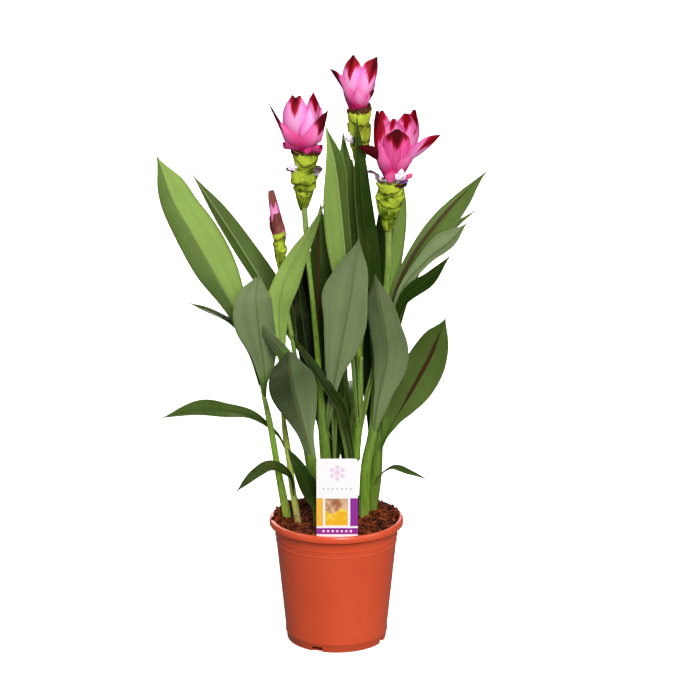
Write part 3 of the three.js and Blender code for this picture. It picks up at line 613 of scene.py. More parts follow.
def blade(
    mesh, rib, face, left, right, tone=(0.5, 0.5, 0.0), face_tip=None, petiole=0.2, channel=100, cup=-8,
    fold=20, wave=1.2, waves=2, phase=0.0, notch=0.0, rows=44, cells=14, **paint,
):
    """A leaf, bract or petal as a sheet along its rib. face is where its upper side looks;
    left and right are its half-widths as the camera sees them, from foot to tip. tone is how
    light it is painted at the foot and at the tip, its own green together with painted light and
    shade, and how much lighter its right half is painted than its left, which is painted light
    and shade on the two halves."""
    line = Rib(rib)
    base_face = Vector(face)
    tip_face = Vector(face_tip or face)
    seen = 1 if base_face.y < 0 else -1
    length = line.walked[-1]
    for vert in bmesh.ops.create_grid(mesh, x_segments=cells, y_segments=rows, size=1)["verts"]:
        side = vert.co.x
        share = min(max((vert.co.y + 1) / 2, 0), 1)
        centre, heading = line.at(share)
        up = base_face.lerp(tip_face, share)
        up = (up - heading * up.dot(heading)).normalized()
        across = heading.cross(up)
        half = max(between(right if side * seen > 0 else left, share), NARROWEST)
        open_up = eased(share, petiole * 0.5, petiole * 1.5)
        bend = math.radians(channel + (cup - channel) * open_up)
        lean = math.radians(fold) * open_up
        reach = math.sin(side * bend) / bend * math.cos(lean)
        lift = (1 - math.cos(side * bend)) / bend + abs(side) * math.sin(lean)
        centre = centre - heading * notch * (1 - abs(side)) ** 2 * eased(share, 0.8, 1)
        beat = waves * math.tau * share + phase + (1.9 if side > 0 else 0)
        ripple = wave * side**2 * math.sin(beat) * open_up
        rise = lift * half + ripple * half / max(*left, *right)
        vert.co = (centre + across * reach * half + up * rise) * MM
        # tone's third number paints one half of the leaf lighter than the other: painted light and shade on
        # the two halves.
        step = eased(side * seen, -0.12, 0.12) - 0.5
        tone_and_painted_light = tone[0] + (tone[1] - tone[0]) * share + tone[2] * step
        painted(mesh, vert, along=share, side=side, reach=abs(side) * half, length=length, tone=tone_and_painted_light)
        painted(mesh, vert, **paint)


def leaf_finish(name, dark, light, rib_tint, blush, streaked, gloss):
    """A leaf's surface: fine veins that leave the midrib and run on towards the tip."""
    finish = Finish(name, Specular_IOR_Level=0.1)
    along, side, reach, length, tone = finish.stored("along", "side", "reach", "length", "tone")
    pale, red = finish.stored("pale", "streak")
    run = along * length
    veins = (run * 0.12 - reach) * 3.6
    threads = finish.streaks(veins * 0.28, run * 0.01, detail=4, roughness=0.7)
    fine = (veins.sine() * 0.5 + 0.5) * threads
    patches = finish.cloud(24, 4, 0.55)
    mottle = finish.cloud(170, 3, 0.6)
    bands = finish.streaks(side * 3.4, along * 0.7, length)
    # tone holds the leaf's own lightness together with painted light and shade.
    colour = finish.mix(tone + patches * 0.36 - 0.18, dark, light)
    colour = finish.tinted(colour, fine * 0.22 + threads * 0.24 + mottle * 0.12 + bands * 0.5 + 0.48)
    foot = tone.shades((84, 116, 38), (150, 182, 84), 0.0, 1.4)
    foot = finish.mix(along.rise(0.04, 0.36, 1, 0), foot, (82, 122, 36))
    colour = finish.mix(along.rise(0.06, 0.34, 0.9, 0), colour, foot)
    # Below 0, tone darkens the leaf towards black, painted shade for leaves deep inside the plant; above 1 it
    # lightens it further, painted light.
    colour = finish.tinted(colour, tone.rise(-0.8, 0.0, 0.12, 1.0) + tone.rise(1.0, 1.6) * 0.3)
    colour = finish.mix(patches.rise(0.5, 0.72) * tone.rise(0.1, 0.7, 1, 0.2) * 0.55, colour, blush)
    midrib = reach.rise(0.3, 1.2, 1, 0)
    colour = finish.mix(midrib * 0.5, colour, finish.mix(pale, rib_tint, (168, 186, 118)))
    if streaked:
        flame = finish.streaks(side * 3, along * 5, roughness=0.5)
        width = along.rise(0.25, 0.5) * along.rise(0.78, 0.95, 1, 0) * 3 + 0.01
        streak = (reach / width + flame * 0.5).rise(0.75, 1.1, 1, 0) * red
        colour = finish.mix(streak * 0.85, colour, (66, 30, 24))
    colour = finish.mix(abs(side).rise(0.97, 1.0) * 0.3, colour, (170, 184, 116))
    finish.paint(Base_Color=colour, Roughness=gloss + threads * 0.16)
    finish.relief(fine * 0.22 + threads * 0.5 - midrib * 1.6, 0.00024)
    return finish


leaf_tones = (36, 58, 10), (146, 175, 86), (66, 84, 34), (70, 74, 30)
under_tones = (54, 66, 38), (142, 162, 110), (86, 92, 50), (94, 92, 60)
leaf_top = leaf_finish("leaf upper side", *leaf_tones, streaked=True, gloss=0.36)
leaf_under = leaf_finish("leaf underside", *under_tones, streaked=False, gloss=0.46)

sheath = Finish("stem", Specular_IOR_Level=0.2)
along, papery, faded, yellow, tone = sheath.stored("along", "papery", "pale", "yellow", "tone")
upright = sheath.node("ShaderNodeMapping", inputs={"Vector": sheath.place(), "Scale": (1.0, 1.0, 0.06)})
lines = sheath.cloud(900, 3, 0.6, upright)
patches = sheath.cloud(40, 3)
green = lines.shades((90, 128, 32), (134, 168, 58))
pale = lines.shades((112, 138, 64), (150, 174, 92))
green = sheath.mix((along + patches * 0.2).rise(0.5, 1.1) * faded, green, pale)
green = sheath.mix(yellow, green, (172, 182, 84))
# tone makes the stem lighter or darker: painted light and shade, with random patches of its own green.
green = sheath.tinted(green, (patches * 0.5 + 0.72) * tone)
dry = lines.shades((122, 92, 44), (178, 160, 96), 0.35, 0.65)
base = (along + patches * 0.16).rise(0.26, 0.42, 1, 0)
sheath.paint(Base_Color=sheath.mix(base * papery, green, dry), Roughness=lines * 0.2 + 0.34)
sheath.relief(lines, 0.0003)


def leaf(rib, face, tone, left, right=None, **shape):
    """A leaf of leafy_shoot, told as in blade. Without right it is the same on both sides,
    and one number as its half-width stands for the usual outline."""
    if not isinstance(left, list):
        left = [left * share for share in EVEN]
    return {"rib": rib, "face": face, "tone": tone, "left": left, "right": right or left, **shape}


def leafy_shoot(side, stem, radii, *leaves, papery=0.2, yellow=0, tone=1):
    """One shoot. papery and yellow are how far its stem has aged; tone is how light its stem is painted, its
    own green together with painted light and shade.
    """
    node = f"leafy_shoot_{side}"
    mesh = blank("along", "papery", "pale", "yellow", "tone")
    tube(mesh, stem, radii, sides=24, rows=48, ridge=0.03, papery=papery, pale=0.7, yellow=yellow, tone=tone)
    finished(f"{node}_stem", mesh, "leaf", node, sheath)
    mesh = blank("along", "side", "reach", "length", "tone", "streak", "pale")
    for shape in leaves:
        blade(mesh, **shape)
    finished(f"{node}_leaves", mesh, "leaf", node, leaf_top, leaf_under, thick=LEAF_THICKNESS)


leafy_shoot(
    "far_left", [(-43, 11, 88), (-45, 10, 112), (-52, 6, 155), (-58, 0, 196), (-64, -6, 228), (-69, -8, 250)],
    [4.6, 3.6, 2.9, 2.6, 1],
    leaf([(-67, -7, 238), (-76, -7, 270), (-89, 2, 302), (-110, 16, 337), (-129, 26, 369), (-145, 34, 396),
        (-158, 40, 434)], (0.35, -0.9, 0.2), (0.4, 0.72, 0.6), [3, 3.5, 5, 9, 14, 14.5, 12.3, 8.1, 0.2],
        [3, 3.5, 8.9, 19.2, 27, 29, 25.5, 19.5, 0.2], petiole=0.16, fold=-16, phase=0.5),
    leaf([(-63, -6, 224), (-63, -16, 252), (-67, -34, 296), (-69, -38, 325), (-67, -24, 340)],
        (-0.4, 0.9, 0.3), (0.96, 0.42, 0.04), [3, 4, 7, 10, 15.5, 21, 21, 14.5, 3],
        [3, 5, 11, 16, 17.5, 16.5, 16, 14, 3], petiole=0.16, face_tip=(-0.2, 0.7, -0.6), fold=16, phase=2),
    leaf([(-66, -7, 236), (-81, 4, 278), (-102, 14, 294), (-130, 22, 305)], (0.3, -0.2, 0.9), (0, 0.1, 0), 7,
        petiole=0.1),
    papery=0.3, tone=1.45,
)
leafy_shoot(
    "left", [(-33, -8, 88), (-34, -6, 108), (-39, 2, 138), (-42, 8, 164), (-46, 12, 191), (-48, 13, 214)],
    [3.4, 3, 2.9, 2.8, 1.6],
    leaf([(-47, 13, 200), (-47.6, 4, 249), (-50.4, -6, 297), (-47.6, -10, 325), (-33.7, -12, 359),
        (-9.4, -12, 404)], (-0.2, -0.9, 0.2), (2.2, 0.3, -0.12), [2, 2.5, 3, 5, 11, 9.5, 6.7, 1.6, 0.2],
        [2, 2.5, 3, 6, 10, 14, 11, 6.5, 0.2], petiole=0.16, fold=10, phase=1, pale=0.7),
    leaf([(-43, 9, 168), (-53, 18, 185), (-73, 12, 203), (-96, -4, 213), (-119, -22, 220), (-151, -48, 220)],
        (0, -0.7, 0.7), (0.16, 0.2, 0), 9, petiole=0.16, wave=1.6, phase=2.6),
    leaf([(-38, 0, 130), (-41, -14, 156), (-57, -28, 169), (-71, -40, 166), (-87, -52, 154)],
        (0.1, -0.7, 0.7), (0, 0, 0), 6, petiole=0.16),
    papery=1, yellow=0.8, tone=1.3,
)
leafy_shoot(
    "front", [(-13, -14, 88), (-15, -15, 120), (-20, -18, 158), (-25, -20, 188), (-31, -26, 222)],
    [6.2, 6, 5.6, 4.4, 0.8],
    leaf([(-19.5, -17, 152), (-22.5, -24, 178), (-26.5, -29.5, 198), (-32, -35, 221), (-37, -41, 242),
        (-40, -44, 260), (-40, -40, 277)], (0.1, 1, 0.1), (0.8, -0.06, 0.34),
        [4.4, 5, 5.5, 7.2, 12.2, 18, 21, 16.6, 3], [4.4, 5, 5, 7.6, 13.6, 18.9, 21.5, 17.5, 4.5],
        face_tip=(0, 0.8, -0.6), fold=10, wave=0.6, phase=0.8),
    leaf([(-41, -38, 269), (-49.5, -36, 278), (-56.4, -34, 286), (-63.4, -32, 295), (-73.5, -30, 307)],
        (0.3, 0.9, 0.2), (0.2, 0.4, 0), [6.5, 7, 7.2, 6.8, 5.8, 4.5, 3.2, 1.8, 0.2], petiole=0.02, fold=16,
        wave=0.4),
    leaf([(-16, -22, 122), (-24, -27, 148), (-33, -29, 168), (-43, -27, 186)], (0.1, -0.9, 0.4),
        (-0.1, -0.1, 0.1), [2, 3, 6, 8, 8.5, 7.5, 5.5, 3, 0.2], [2, 4, 8, 9, 8.5, 7.5, 6, 3.4, 0.2],
        petiole=0.06, fold=24),
    tone=0.72,
)
# The third and fifth leaves of this shoot fill the dark gap in the middle; a tone below 0 paints them
# near-black, painted shade, and the second leaf is painted dark at its foot the same way.
leafy_shoot(
    "middle", [(-5, -2, 88), (-7, -3, 124), (-9.5, -4, 169), (-12, -8, 208), (-15, -10, 244)],
    [5.8, 5.4, 4.8, 4.4, 1.4],
    leaf([(-10.5, -6, 184), (-2.5, -25, 239), (4, -40, 279), (11, -46, 320), (16, -42, 350), (20, -30, 376)],
        (0, 1, 0.2), (1.06, 0.27, 0.04), [3, 3.4, 3.6, 9.5, 14.6, 19.5, 25, 15, 0.2],
        [3, 3.4, 3.8, 6.5, 15.6, 19, 15.5, 11.5, 0.2], petiole=0.16, fold=12, cup=-14, phase=1.4),
    leaf([(-9.9, -4, 228), (-13.4, 6, 266), (-16, 12, 306), (-16.4, 14, 344), (-15.9, 14, 371),
        (-13.1, 12, 398)], (0.2, -1, 0.1), (-0.8, 0.36, 0.1), [2, 2.4, 4, 6.4, 8, 8, 7, 4.6, 0.2],
        [2, 2.4, 5, 9, 13, 14.5, 12, 7, 0.2], streak=0.8),
    leaf([(-10, -4, 216), (-16, 22, 253), (-28, 30, 287), (-32, 32, 314), (-25, 28, 346)], (0.4, -0.9, 0.2),
        (-0.84, -0.7, 0), 11),
    leaf([(-4, -2, 110), (-2, -2, 148), (-2, -2, 186), (-3, 0, 222), (-7, 6, 257), (-14, 14, 292)],
        (0.3, -0.9, 0.2), (0.9, 0.1, 0), 3.4, petiole=0.6),
    leaf([(-9, 2, 150), (-14, 4, 194), (-20, 8, 229), (-26, 14, 264), (-31, 20, 299), (-34, 24, 335)],
        (0.2, -0.9, 0.3), (-0.66, -0.6, 0), 9),
    papery=0.1, tone=0.76,
)
leafy_shoot(
    "tall", [(9.5, 4, 88), (13.1, 4, 142), (16.7, 4, 168), (19, 4, 186), (19.9, 2, 206), (22, 0, 262)],
    [4.4, 4.2, 4, 3.6, 3.4, 1.8],
    leaf([(12, 6, 135), (8, 20, 188), (-6, 32, 224), (-30, 46, 257), (-57, 58, 299), (-87, 68, 347),
        (-129, 74, 411)], (0.4, -0.8, 0.4), (0.26, 0.18, 0.1), [2, 2, 2.5, 5, 8, 8, 9, 6.2, 0.2],
        [2, 2, 2.5, 7, 13, 15.2, 12.8, 8.6, 0.2], petiole=0.34, fold=16, pale=1),
    leaf([(19.8, 1, 198), (18, -4.5, 226), (14, -10, 289), (9, -8, 347), (4, -4, 399), (-1, -4, 438),
        (-9, -4, 470)], (-0.1, -0.95, 0.1), (0.02, 0.58, -0.44), [3, 3, 3.5, 6.8, 12.2, 16.6, 15.9, 8.7, 0.2],
        [3, 3, 3, 3.6, 5.3, 7, 7.9, 9.8, 0.2], petiole=0.17, fold=24, phase=2, pale=1),
    leaf([(20, 0, 232), (17, 26, 309), (14, 30, 363), (10, 28, 407), (6, 24, 459)], (-0.2, -0.9, 0.1),
        (-0.1, 0.6, 0), 13, petiole=0.14, fold=18),
    leaf([(16, 0, 157), (12.2, -12, 188.4), (4.2, -24, 221.6), (-5.4, -29, 238.8), (-17.7, -26, 257.4),
        (-29, -22, 272.2), (-39.4, -18, 286.5)], (0.3, -0.9, 0.3), (-0.42, -0.3, 0.1),
        [2, 2.2, 2.6, 3.4, 4.4, 5, 4.6, 2.8, 0.2], petiole=0.3, fold=24),
    leaf([(11, 5, 112), (12.4, 2, 150), (11.4, 0, 171), (8.6, -2, 188), (3, -3, 208), (-3, -4, 228)],
        (-0.2, -0.9, 0.2), (0.6, 0.5, 0.2), [3, 3.8, 4.2, 4.2, 4, 3.8, 3.4, 2.6, 0.2], petiole=0.3),
    leaf([(19.6, 3, 176), (22.4, 0, 201), (26.4, -2, 223), (31, -2, 243), (34, -2, 262)], (0.2, -0.9, 0.1),
        (0.8, 0.5, 0), [1.6, 2, 2.2, 2.4, 2.4, 2.4, 2.2, 1.4, 0.2], petiole=0.3),
    tone=0.92,
)
leafy_shoot(
    "right", [(24, 2, 88), (24.6, 2, 111), (25.8, 2, 147), (27.6, 2, 166), (32, 2, 188), (35, 2, 226)],
    [5.2, 5, 4.8, 4.2, 1.4],
    leaf([(30, 1, 168), (33.4, -2, 195), (37, -14, 227), (44, -28, 267), (42, -36, 296), (37, -36, 323),
        (34, -28, 344)], (0.1, 1, 0.2), (1.14, 0.08, 0.08), [3, 3, 3.2, 5.1, 10.4, 12.9, 13.3, 11.7, 0.2],
        [3, 4.4, 8.6, 13, 19.1, 19.1, 15.1, 10.6, 0.2], fold=16, phase=0.6),
    leaf([(33, 4, 204), (32, 16, 282), (29, 12, 336), (22, 0, 407), (18, -5, 477)], (0.5, -0.8, 0.1),
        (-0.2, 0.1, 0), 11, fold=24),
    tone=0.88,
)
leafy_shoot(
    "far_right", [(30, 13, 88), (31, 12, 111), (35, 12, 144), (38, 12, 178), (42, 11, 210)],
    [4.8, 5, 5.4, 3.8, 1.2],
    leaf([(39, 9, 173), (49, 2, 198), (62, -10, 225), (80, -22, 263), (90, -30, 290), (95, -32, 305)],
        (-0.4, -0.9, 0.3), (0.5, 0.2, 0.06), [3, 5, 14.5, 17, 18, 19, 17.5, 12, 0.2],
        [3, 4, 6.5, 12.5, 18, 19.5, 18.3, 13, 0.2], petiole=0.16, fold=12, phase=1.1, streak=1),
    leaf([(41, 12, 186), (43, 26, 233), (50, 38, 299), (66, 48, 338), (91, 58, 371), (115, 66, 396),
        (134, 70, 414)], (-0.2, -0.85, 0.4), (0.1, 0.34, 0), [2, 2, 3, 4, 5, 5.6, 7.3, 4.6, 0.2],
        [2, 2, 3, 4, 8, 13.6, 16.5, 12, 0.2], petiole=0.42, fold=14, streak=0.8),
    leaf([(42, 11, 191), (48, 16, 255), (56, 18, 313), (78, 14, 344), (100, 8, 364), (114, 2, 382)],
        (0.3, 0.8, 0.4), (0.6, 0.8, 0), [2, 2, 2, 3, 4, 4, 8, 12, 0.2], [2, 2, 2, 3, 4, 4.8, 4.4, 6, 0.2],
        petiole=0.4, phase=2),
    leaf([(42, 11, 191), (50, 30, 251), (66, 50, 319), (92, 66, 352), (126, 80, 377)], (-0.4, -0.6, 0.6),
        (0.1, 0.5, 0), 9, petiole=0.5),
    leaf([(42, 10, 194), (48, 6, 257), (58, 0, 310), (81, -10, 336), (99, -20, 358)], (-0.3, -0.8, 0.4),
        (-0.2, 0.04, 0), [2, 2, 2, 2, 3, 4.5, 7, 4, 0.2], [2, 2, 2, 2, 3, 4, 8, 8.5, 0.2], petiole=0.46),
    leaf([(42, 12, 190), (42, 28, 260), (45, 40, 312), (49, 48, 356), (52, 54, 396), (49, 58, 436)],
        (0, -0.95, 0), (0.2, 0.3, 0.6), [2, 2, 4, 9, 14, 17, 16, 10, 0.2], [2, 2, 3, 7, 10, 13.5, 14, 9, 0.2],
        petiole=0.26, fold=-30, phase=0.3),
    leaf([(35, 11, 134), (37, 2, 149), (50, -10, 162), (65, -20, 161), (80, -30, 158)], (0, -0.5, 0.9),
        (0.1, 0.1, 0), 3.4, petiole=0.1, wave=0.6),
    tone=0.66,
)
# The first six leaves of this shoot stand behind the stems and fill the dark gaps there; a tone below 0
# paints them near-black, painted shade.
leafy_shoot(
    "back", [(14, 28, 88), (15, 30, 120), (16, 34, 160), (16, 39, 200), (16, 42, 225)], [4.2, 4, 3.8, 3.4, 1],
    leaf([(16, 41, 214), (15, 50, 289), (14, 58, 357), (14, 62, 428)], (0, -1, 0.1), (-0.3, 0.1, 0), 13),
    leaf([(8, 16, 110), (-2, 10, 146), (-5, 12, 182), (-8, 14, 222), (-13, 20, 260), (-18, 26, 294)],
        (0.2, -1, 0.1), (-0.5, -0.7, 0), 6, petiole=0.16),
    leaf([(-4, 4, 184), (-13, 6, 206), (-18, 8, 222), (-24, 10, 248)], (0.2, -1, 0.1), (-0.4, -0.6, 0), 5),
    leaf([(0, 14, 110), (0, 14, 150), (2, 14, 190), (4, 14, 222), (6, 14, 250)], (0.2, -1, 0.1), (0, -0.3, 0),
        3.6, petiole=0.4),
    leaf([(14, 24, 110), (9, 18, 146), (3, 20, 188), (-3, 26, 233), (-10, 34, 277), (-16, 40, 317)],
        (0.2, -1, 0.1), (-0.56, -0.7, 0), 8, petiole=0.16),
    leaf([(19, 24, 110), (29, 20, 146), (33, 22, 188), (31, 28, 233), (31, 34, 277), (34, 38, 318)],
        (-0.2, -1, 0.1), (-0.5, -0.5, 0), 8, petiole=0.16),
    leaf([(16, 36, 180), (4, 54, 228), (-14, 80, 272), (-32, 108, 300), (-46, 136, 304)], (0.2, -0.5, 0.85),
        (0.2, 0.4, 0), 18),
    leaf([(16, 37, 186), (24, 58, 230), (32, 86, 254), (40, 112, 256), (46, 134, 242)], (-0.2, -0.5, 0.85),
        (0.2, 0.4, 0), 18, phase=1.5),
    leaf([(15, 32, 140), (12, 54, 180), (6, 82, 204), (0, 108, 202), (-4, 128, 186)], (0, -0.4, 0.9),
        (0.2, 0.4, 0), 16, phase=2.2),
    papery=0.3,
)


# Flower heads: a slender green stalk, then a spike of cupped green bracts whose broad lips
# roll outwards and hang over the next ones, thin and brown at the edge. It grew as one piece.
POUCH_THICKNESS = 0.5
UPRIGHT = 0.62
CORE_LEVELS = [0, 0.25, 0.5, 0.75, 0.95]
CORE_SHARE = 0.84


def pouch(mesh, head, azimuth, lip, length, radius, fall, rim, foot, tilt=0):
    """One green bract: a cup round the spike. Its lip lies at this height, rolls out, and
    hangs down by fall in the middle."""
    for vert in bmesh.ops.create_grid(mesh, x_segments=34, y_segments=26, size=1)["verts"]:
        side = vert.co.x
        share = min(max((vert.co.y + 1) / 2, 0), 1)
        middle = 1 - side**2
        crumple = noise.fractal(Vector((side * 2.3, share * 2.4, azimuth)), 0.8, 2.1, 4) * radius / 10
        torn = noise.noise(Vector((side * 7, azimuth, lip)))
        rising = min(share / UPRIGHT, 1)
        rolled = max(share - UPRIGHT, 0) / (1 - UPRIGHT)
        rise = lip - length * (1 - rising) + 0.7 * math.sin(rolled * math.pi) - fall * middle * rolled**1.3
        swell = foot + (radius - foot) * math.sin(rising * math.pi / 2)
        belly = radius * 0.1 * math.sin(rolled * 2.7) * (0.3 + 0.7 * middle)
        folds = crumple * 1.5 * (1 - 0.4 * rolled) * rising
        out = (swell + belly) * (1 - 0.12 * side**4) + folds + torn * rolled * 0.6
        rise += tilt * side * rising + (torn * 2 + crumple * 0.8) * rolled
        vert.co = head.at(out, azimuth + side * 90, rise) * MM
        painted(mesh, vert, along=share, side=side, rim=rim)


rind = Finish("green bract", Specular_IOR_Level=0.14)
along, side, rim = rind.stored("along", "side", "rim")
rim_band_and_light = rim.rise(0.0, 1.0)
streaks = rind.streaks(side * 9, along * 1.2)
patches = rind.cloud(130, 4, 0.6)
# Each pouch is painted darker towards its foot, painted shade where it lies behind the lips round it; it is
# also darker towards its sides, and a rim pouch is painted lighter, painted light. Random patches give its
# own greens.
tone_with_painted_shade_and_light = along * 0.3 + patches * 0.8 + rind.cloud(62, 2, 0.5) * 1.3 - abs(side) * 0.3 + rim_band_and_light * 0.3
green = tone_with_painted_shade_and_light.shades((58, 88, 2), (188, 207, 60), 0.84, 1.5)
green = rind.mix(rind.cloud(210, 3).rise(0.58, 0.76) * 0.4, green, (132, 92, 48))
green = rind.tinted(green, streaks * 0.6 + 0.66)
lip = (along + streaks * 0.05 + patches * 0.05).rise(1.0, 1.04)
# On the pouches of the rim a dark red-brown band lies where the lip rolls over: partly the bract's own brown,
# partly painted shade where the pink bracts sit in the pouch's mouth.
crest = rim * 0.17 + 0.57
fold = (abs(along + streaks * 0.12 - crest) * -1).rise(-0.15, -0.09) * rim_band_and_light
band_brown_and_shade = patches.shades((44, 4, 14), (76, 16, 24), 0.4, 0.6)
edge = patches.shades((46, 44, 12), (120, 78, 42), 0.4, 0.6)
green = rind.mix(lip * patches.rise(0.36, 0.6, 0.0, 0.8), green, edge)
rind.paint(Base_Color=rind.mix(fold * 0.97, green, band_brown_and_shade), Roughness=streaks * 0.2 + fold * 0.35 + 0.34)
rind.relief(streaks + patches * 2, 0.0008)


class Head:
    """One head, from the foot of its green spike to the crown that the pink bracts grow
    from: places on it are given as radius, azimuth from +X towards +Y, and height."""

    def __init__(self, name, foot, crown, core, stalk, radii, pouches):
        self.name = name
        self.foot = Vector(foot)
        self.crown = Vector(crown)
        self.axis = (self.crown - self.foot).normalized()
        self.back = self.axis.cross(Vector((1, 0, 0))).normalized()
        self.right = self.back.cross(self.axis)
        node = f"{name}_green_bracts"
        mesh = blank("along", "papery", "pale", "yellow", "tone")
        tube(mesh, stalk, radii, rows=48, pale=1, tone=1)
        finished(f"{name}_stalk", mesh, "green_bract", node, sheath)
        mesh = blank("along", "side", "rim")
        for measures in pouches:
            pouch(mesh, self, *measures)
        finished(f"{name}_pouches", mesh, "green_bract", node, rind, thick=POUCH_THICKNESS, offset=-1)
        mesh = blank("along", "side", "rim")
        height = (self.crown - self.foot).length
        line = [self.at(0, 0, height * level) for level in CORE_LEVELS]
        tube(mesh, line, [radius * CORE_SHARE for radius in core], sides=20, rows=16, along=0.8)
        finished(f"{name}_core", mesh, "green_bract", node, rind)

    def outward(self, azimuth):
        turn = math.radians(azimuth)
        return self.right * math.cos(turn) + self.back * math.sin(turn)

    def at(self, radius, azimuth, rise):
        return self.foot + self.axis * rise + self.outward(azimuth) * radius

    def sheet(self, mesh, half, rib, outline, **shape):
        """A bract or petal whose rib is counted from the crown."""
        halves = [half * share for share in OUTLINES[outline]]
        rib = [self.crown + Vector(point) for point in rib]
        blade(mesh, rib, left=halves, right=halves, petiole=0.02, fold=0, wave=0.7, **shape)


# The numbers of a pouch: azimuth, height of its lip, length, radius, how far its lip hangs
# down, where the dark band of its rim lies, partly red-brown and partly painted shade (0 for none;
# a pouch with a band is also painted lighter, painted light), radius at its foot, and tilt.
left_head = Head(
    "left", foot=(-28.5, 16, 392), crown=(-26, 16, 446), core=[2.9, 5.2, 8.4, 10.4, 10.2, 9.4, 9.5],
    stalk=[(-10, -4, 180), (-13, -9, 214), (-15, -10, 250), (-20, -4, 308), (-24.5, 6, 350), (-28, 15, 396)],
    radii=[2.4, 2.5, 2.2, 2.6],
    pouches=[
        (100, 23, 24, 9, 4, 0, 2.9), (190, 20, 22, 8.6, 4, 0, 2.9, 2), (330, 23, 24, 9, 5, 0, 2.9, 3),
        (262, 17, 19, 7.4, 5, 0, 2.9, -3), (150, 36, 20, 11, 5, 0, 8), (30, 35, 20, 10.8, 5, 0, 8),
        (222, 35, 20, 11, 13, 0, 8, 3), (300, 33, 19, 11, 9, 0, 8, 5), (90, 52, 18, 11.4, 4, 2, 8.4),
        (200, 52, 16, 12, 3, 2, 8.4, -2), (335, 54, 18, 12, 5, 2, 8.4, 2),
        (278, 54.5, 19, 11.4, 14, 1, 8.4, 1),
    ],
)
top_head = Head(
    "top", foot=(21, 16, 430), crown=(20, 14, 482), core=[2.6, 5.4, 7.2, 8.2, 8.6, 8.8, 8.8],
    stalk=[(18.5, 4, 166), (19.5, 2, 220), (21, 8, 277), (22, 20, 330), (21, 22, 387), (21, 16, 434)],
    radii=[2.8, 2.8, 2.6, 2.8],
    pouches=[
        (100, 24, 24, 7.6, 5, 0, 3), (262, 20, 22, 7.4, 6, 0, 3, 2), (190, 22, 24, 7.4, 5, 0, 3, -2),
        (335, 23, 24, 7.6, 5, 0, 3, 2), (30, 38, 20, 9, 6, 0, 7.4), (150, 38, 20, 8.8, 6, 0, 7.4),
        (218, 40, 22, 9, 15, 0, 7.4, 3), (312, 35, 22, 9, 12, 0, 7.4, 4), (90, 50, 20, 9.4, 4, 2, 8),
        (205, 51, 20, 9.5, 4, 2, 8, 1), (335, 52, 20, 9.6, 5, 2, 8, 1), (286, 53.5, 25, 10, 16, 1, 8, 2),
    ],
)
right_head = Head(
    "right", foot=(45, -6, 383), crown=(48, -6, 423), core=[3.4, 7, 9.6, 10.8, 10.8, 10.4],
    stalk=[(32, 2, 186), (33, 2, 214), (37, 2, 267), (44, 0, 322), (46, -3, 359), (45, -6, 387)],
    radii=[2.7, 2.7, 2.8, 3.2],
    pouches=[
        (100, 18, 22, 9.4, 4, 0, 3.2), (190, 15, 21, 8.6, 3, 0, 3.2, 2), (345, 16, 22, 9, 3, 0, 3.2, 2),
        (268, 14, 20, 8, 3, 0, 3.2, -2), (30, 27, 18, 11.2, 5, 0, 8.4), (150, 27, 18, 11, 5, 0, 8.4),
        (205, 25, 18, 11.2, 4, 0, 8.4, 4), (322, 27, 20, 11, 6, 0, 8.4, 4),
        (262, 26, 20, 10.8, 9, 0, 8.2, -3), (90, 37, 18, 11.4, 4, 2, 8.8),
        (196, 37, 15, 11.8, 3, 0.6, 8.8, -2), (342, 39, 17, 12.2, 4, 2, 8.8, 2),
        (266, 38, 16, 11.4, 9, 0.5, 8.8, 2),
    ],
)
bud_head = Head(
    "bud", foot=(-48.6, 14, 337), crown=(-49.7, 16, 370), core=[2.6, 4.6, 5.4, 5.6, 5.4],
    stalk=[(-22, -21, 168), (-26, -23, 195), (-31, -12, 230), (-37, 0, 267), (-43, 9, 300), (-49, 14, 341)],
    radii=[1.9, 1.9, 2, 2.4],
    pouches=[
        (100, 18, 20, 5, 2, 0, 2.2), (335, 20, 22, 5.4, 4, 0, 2.2, 2), (160, 25, 26, 5.4, 3, 0, 2.2, -2),
        (70, 29, 28, 5.3, 2, 0, 2.2), (255, 33, 34, 5.5, 5, 0.6, 2.2, 2),
    ],
)


# Pink bracts: thin silky blades that grew from the top of the green spike, palest along
# their middle, deep pink at the foot, with dark red flames at their tips.
PINK_THICKNESS = 0.4
OUTLINES = {
    "pointed": [0.5, 0.7, 0.87, 0.97, 1.0, 0.94, 0.8, 0.52, 0.05],
    "blunt": [0.5, 0.68, 0.84, 0.95, 1.0, 0.98, 0.9, 0.72, 0.24],
    "even": [1.0, 1.0, 0.97, 0.93, 0.87, 0.8, 0.72, 0.63, 0.5],
    "slim": [0.7, 0.95, 1.0, 0.8, 0.46, 0.24, 0.16, 0.12, 0.04],
    "round": [0.6, 0.74, 0.86, 0.94, 1.0, 1.0, 0.96, 0.82, 0.12],
    "notched": [0.6, 0.74, 0.86, 0.95, 1.0, 1.0, 0.93, 0.74, 0.34],
    "horn": [0.7, 0.95, 1.0, 0.92, 0.8, 0.64, 0.48, 0.3, 0.04],
    "full": [0.8, 0.88, 0.94, 0.98, 1.0, 0.98, 0.88, 0.66, 0.08],
    "sleeve": [1.0, 1.0, 1.0, 0.99, 0.97, 0.94, 0.9, 0.84, 0.6],
}

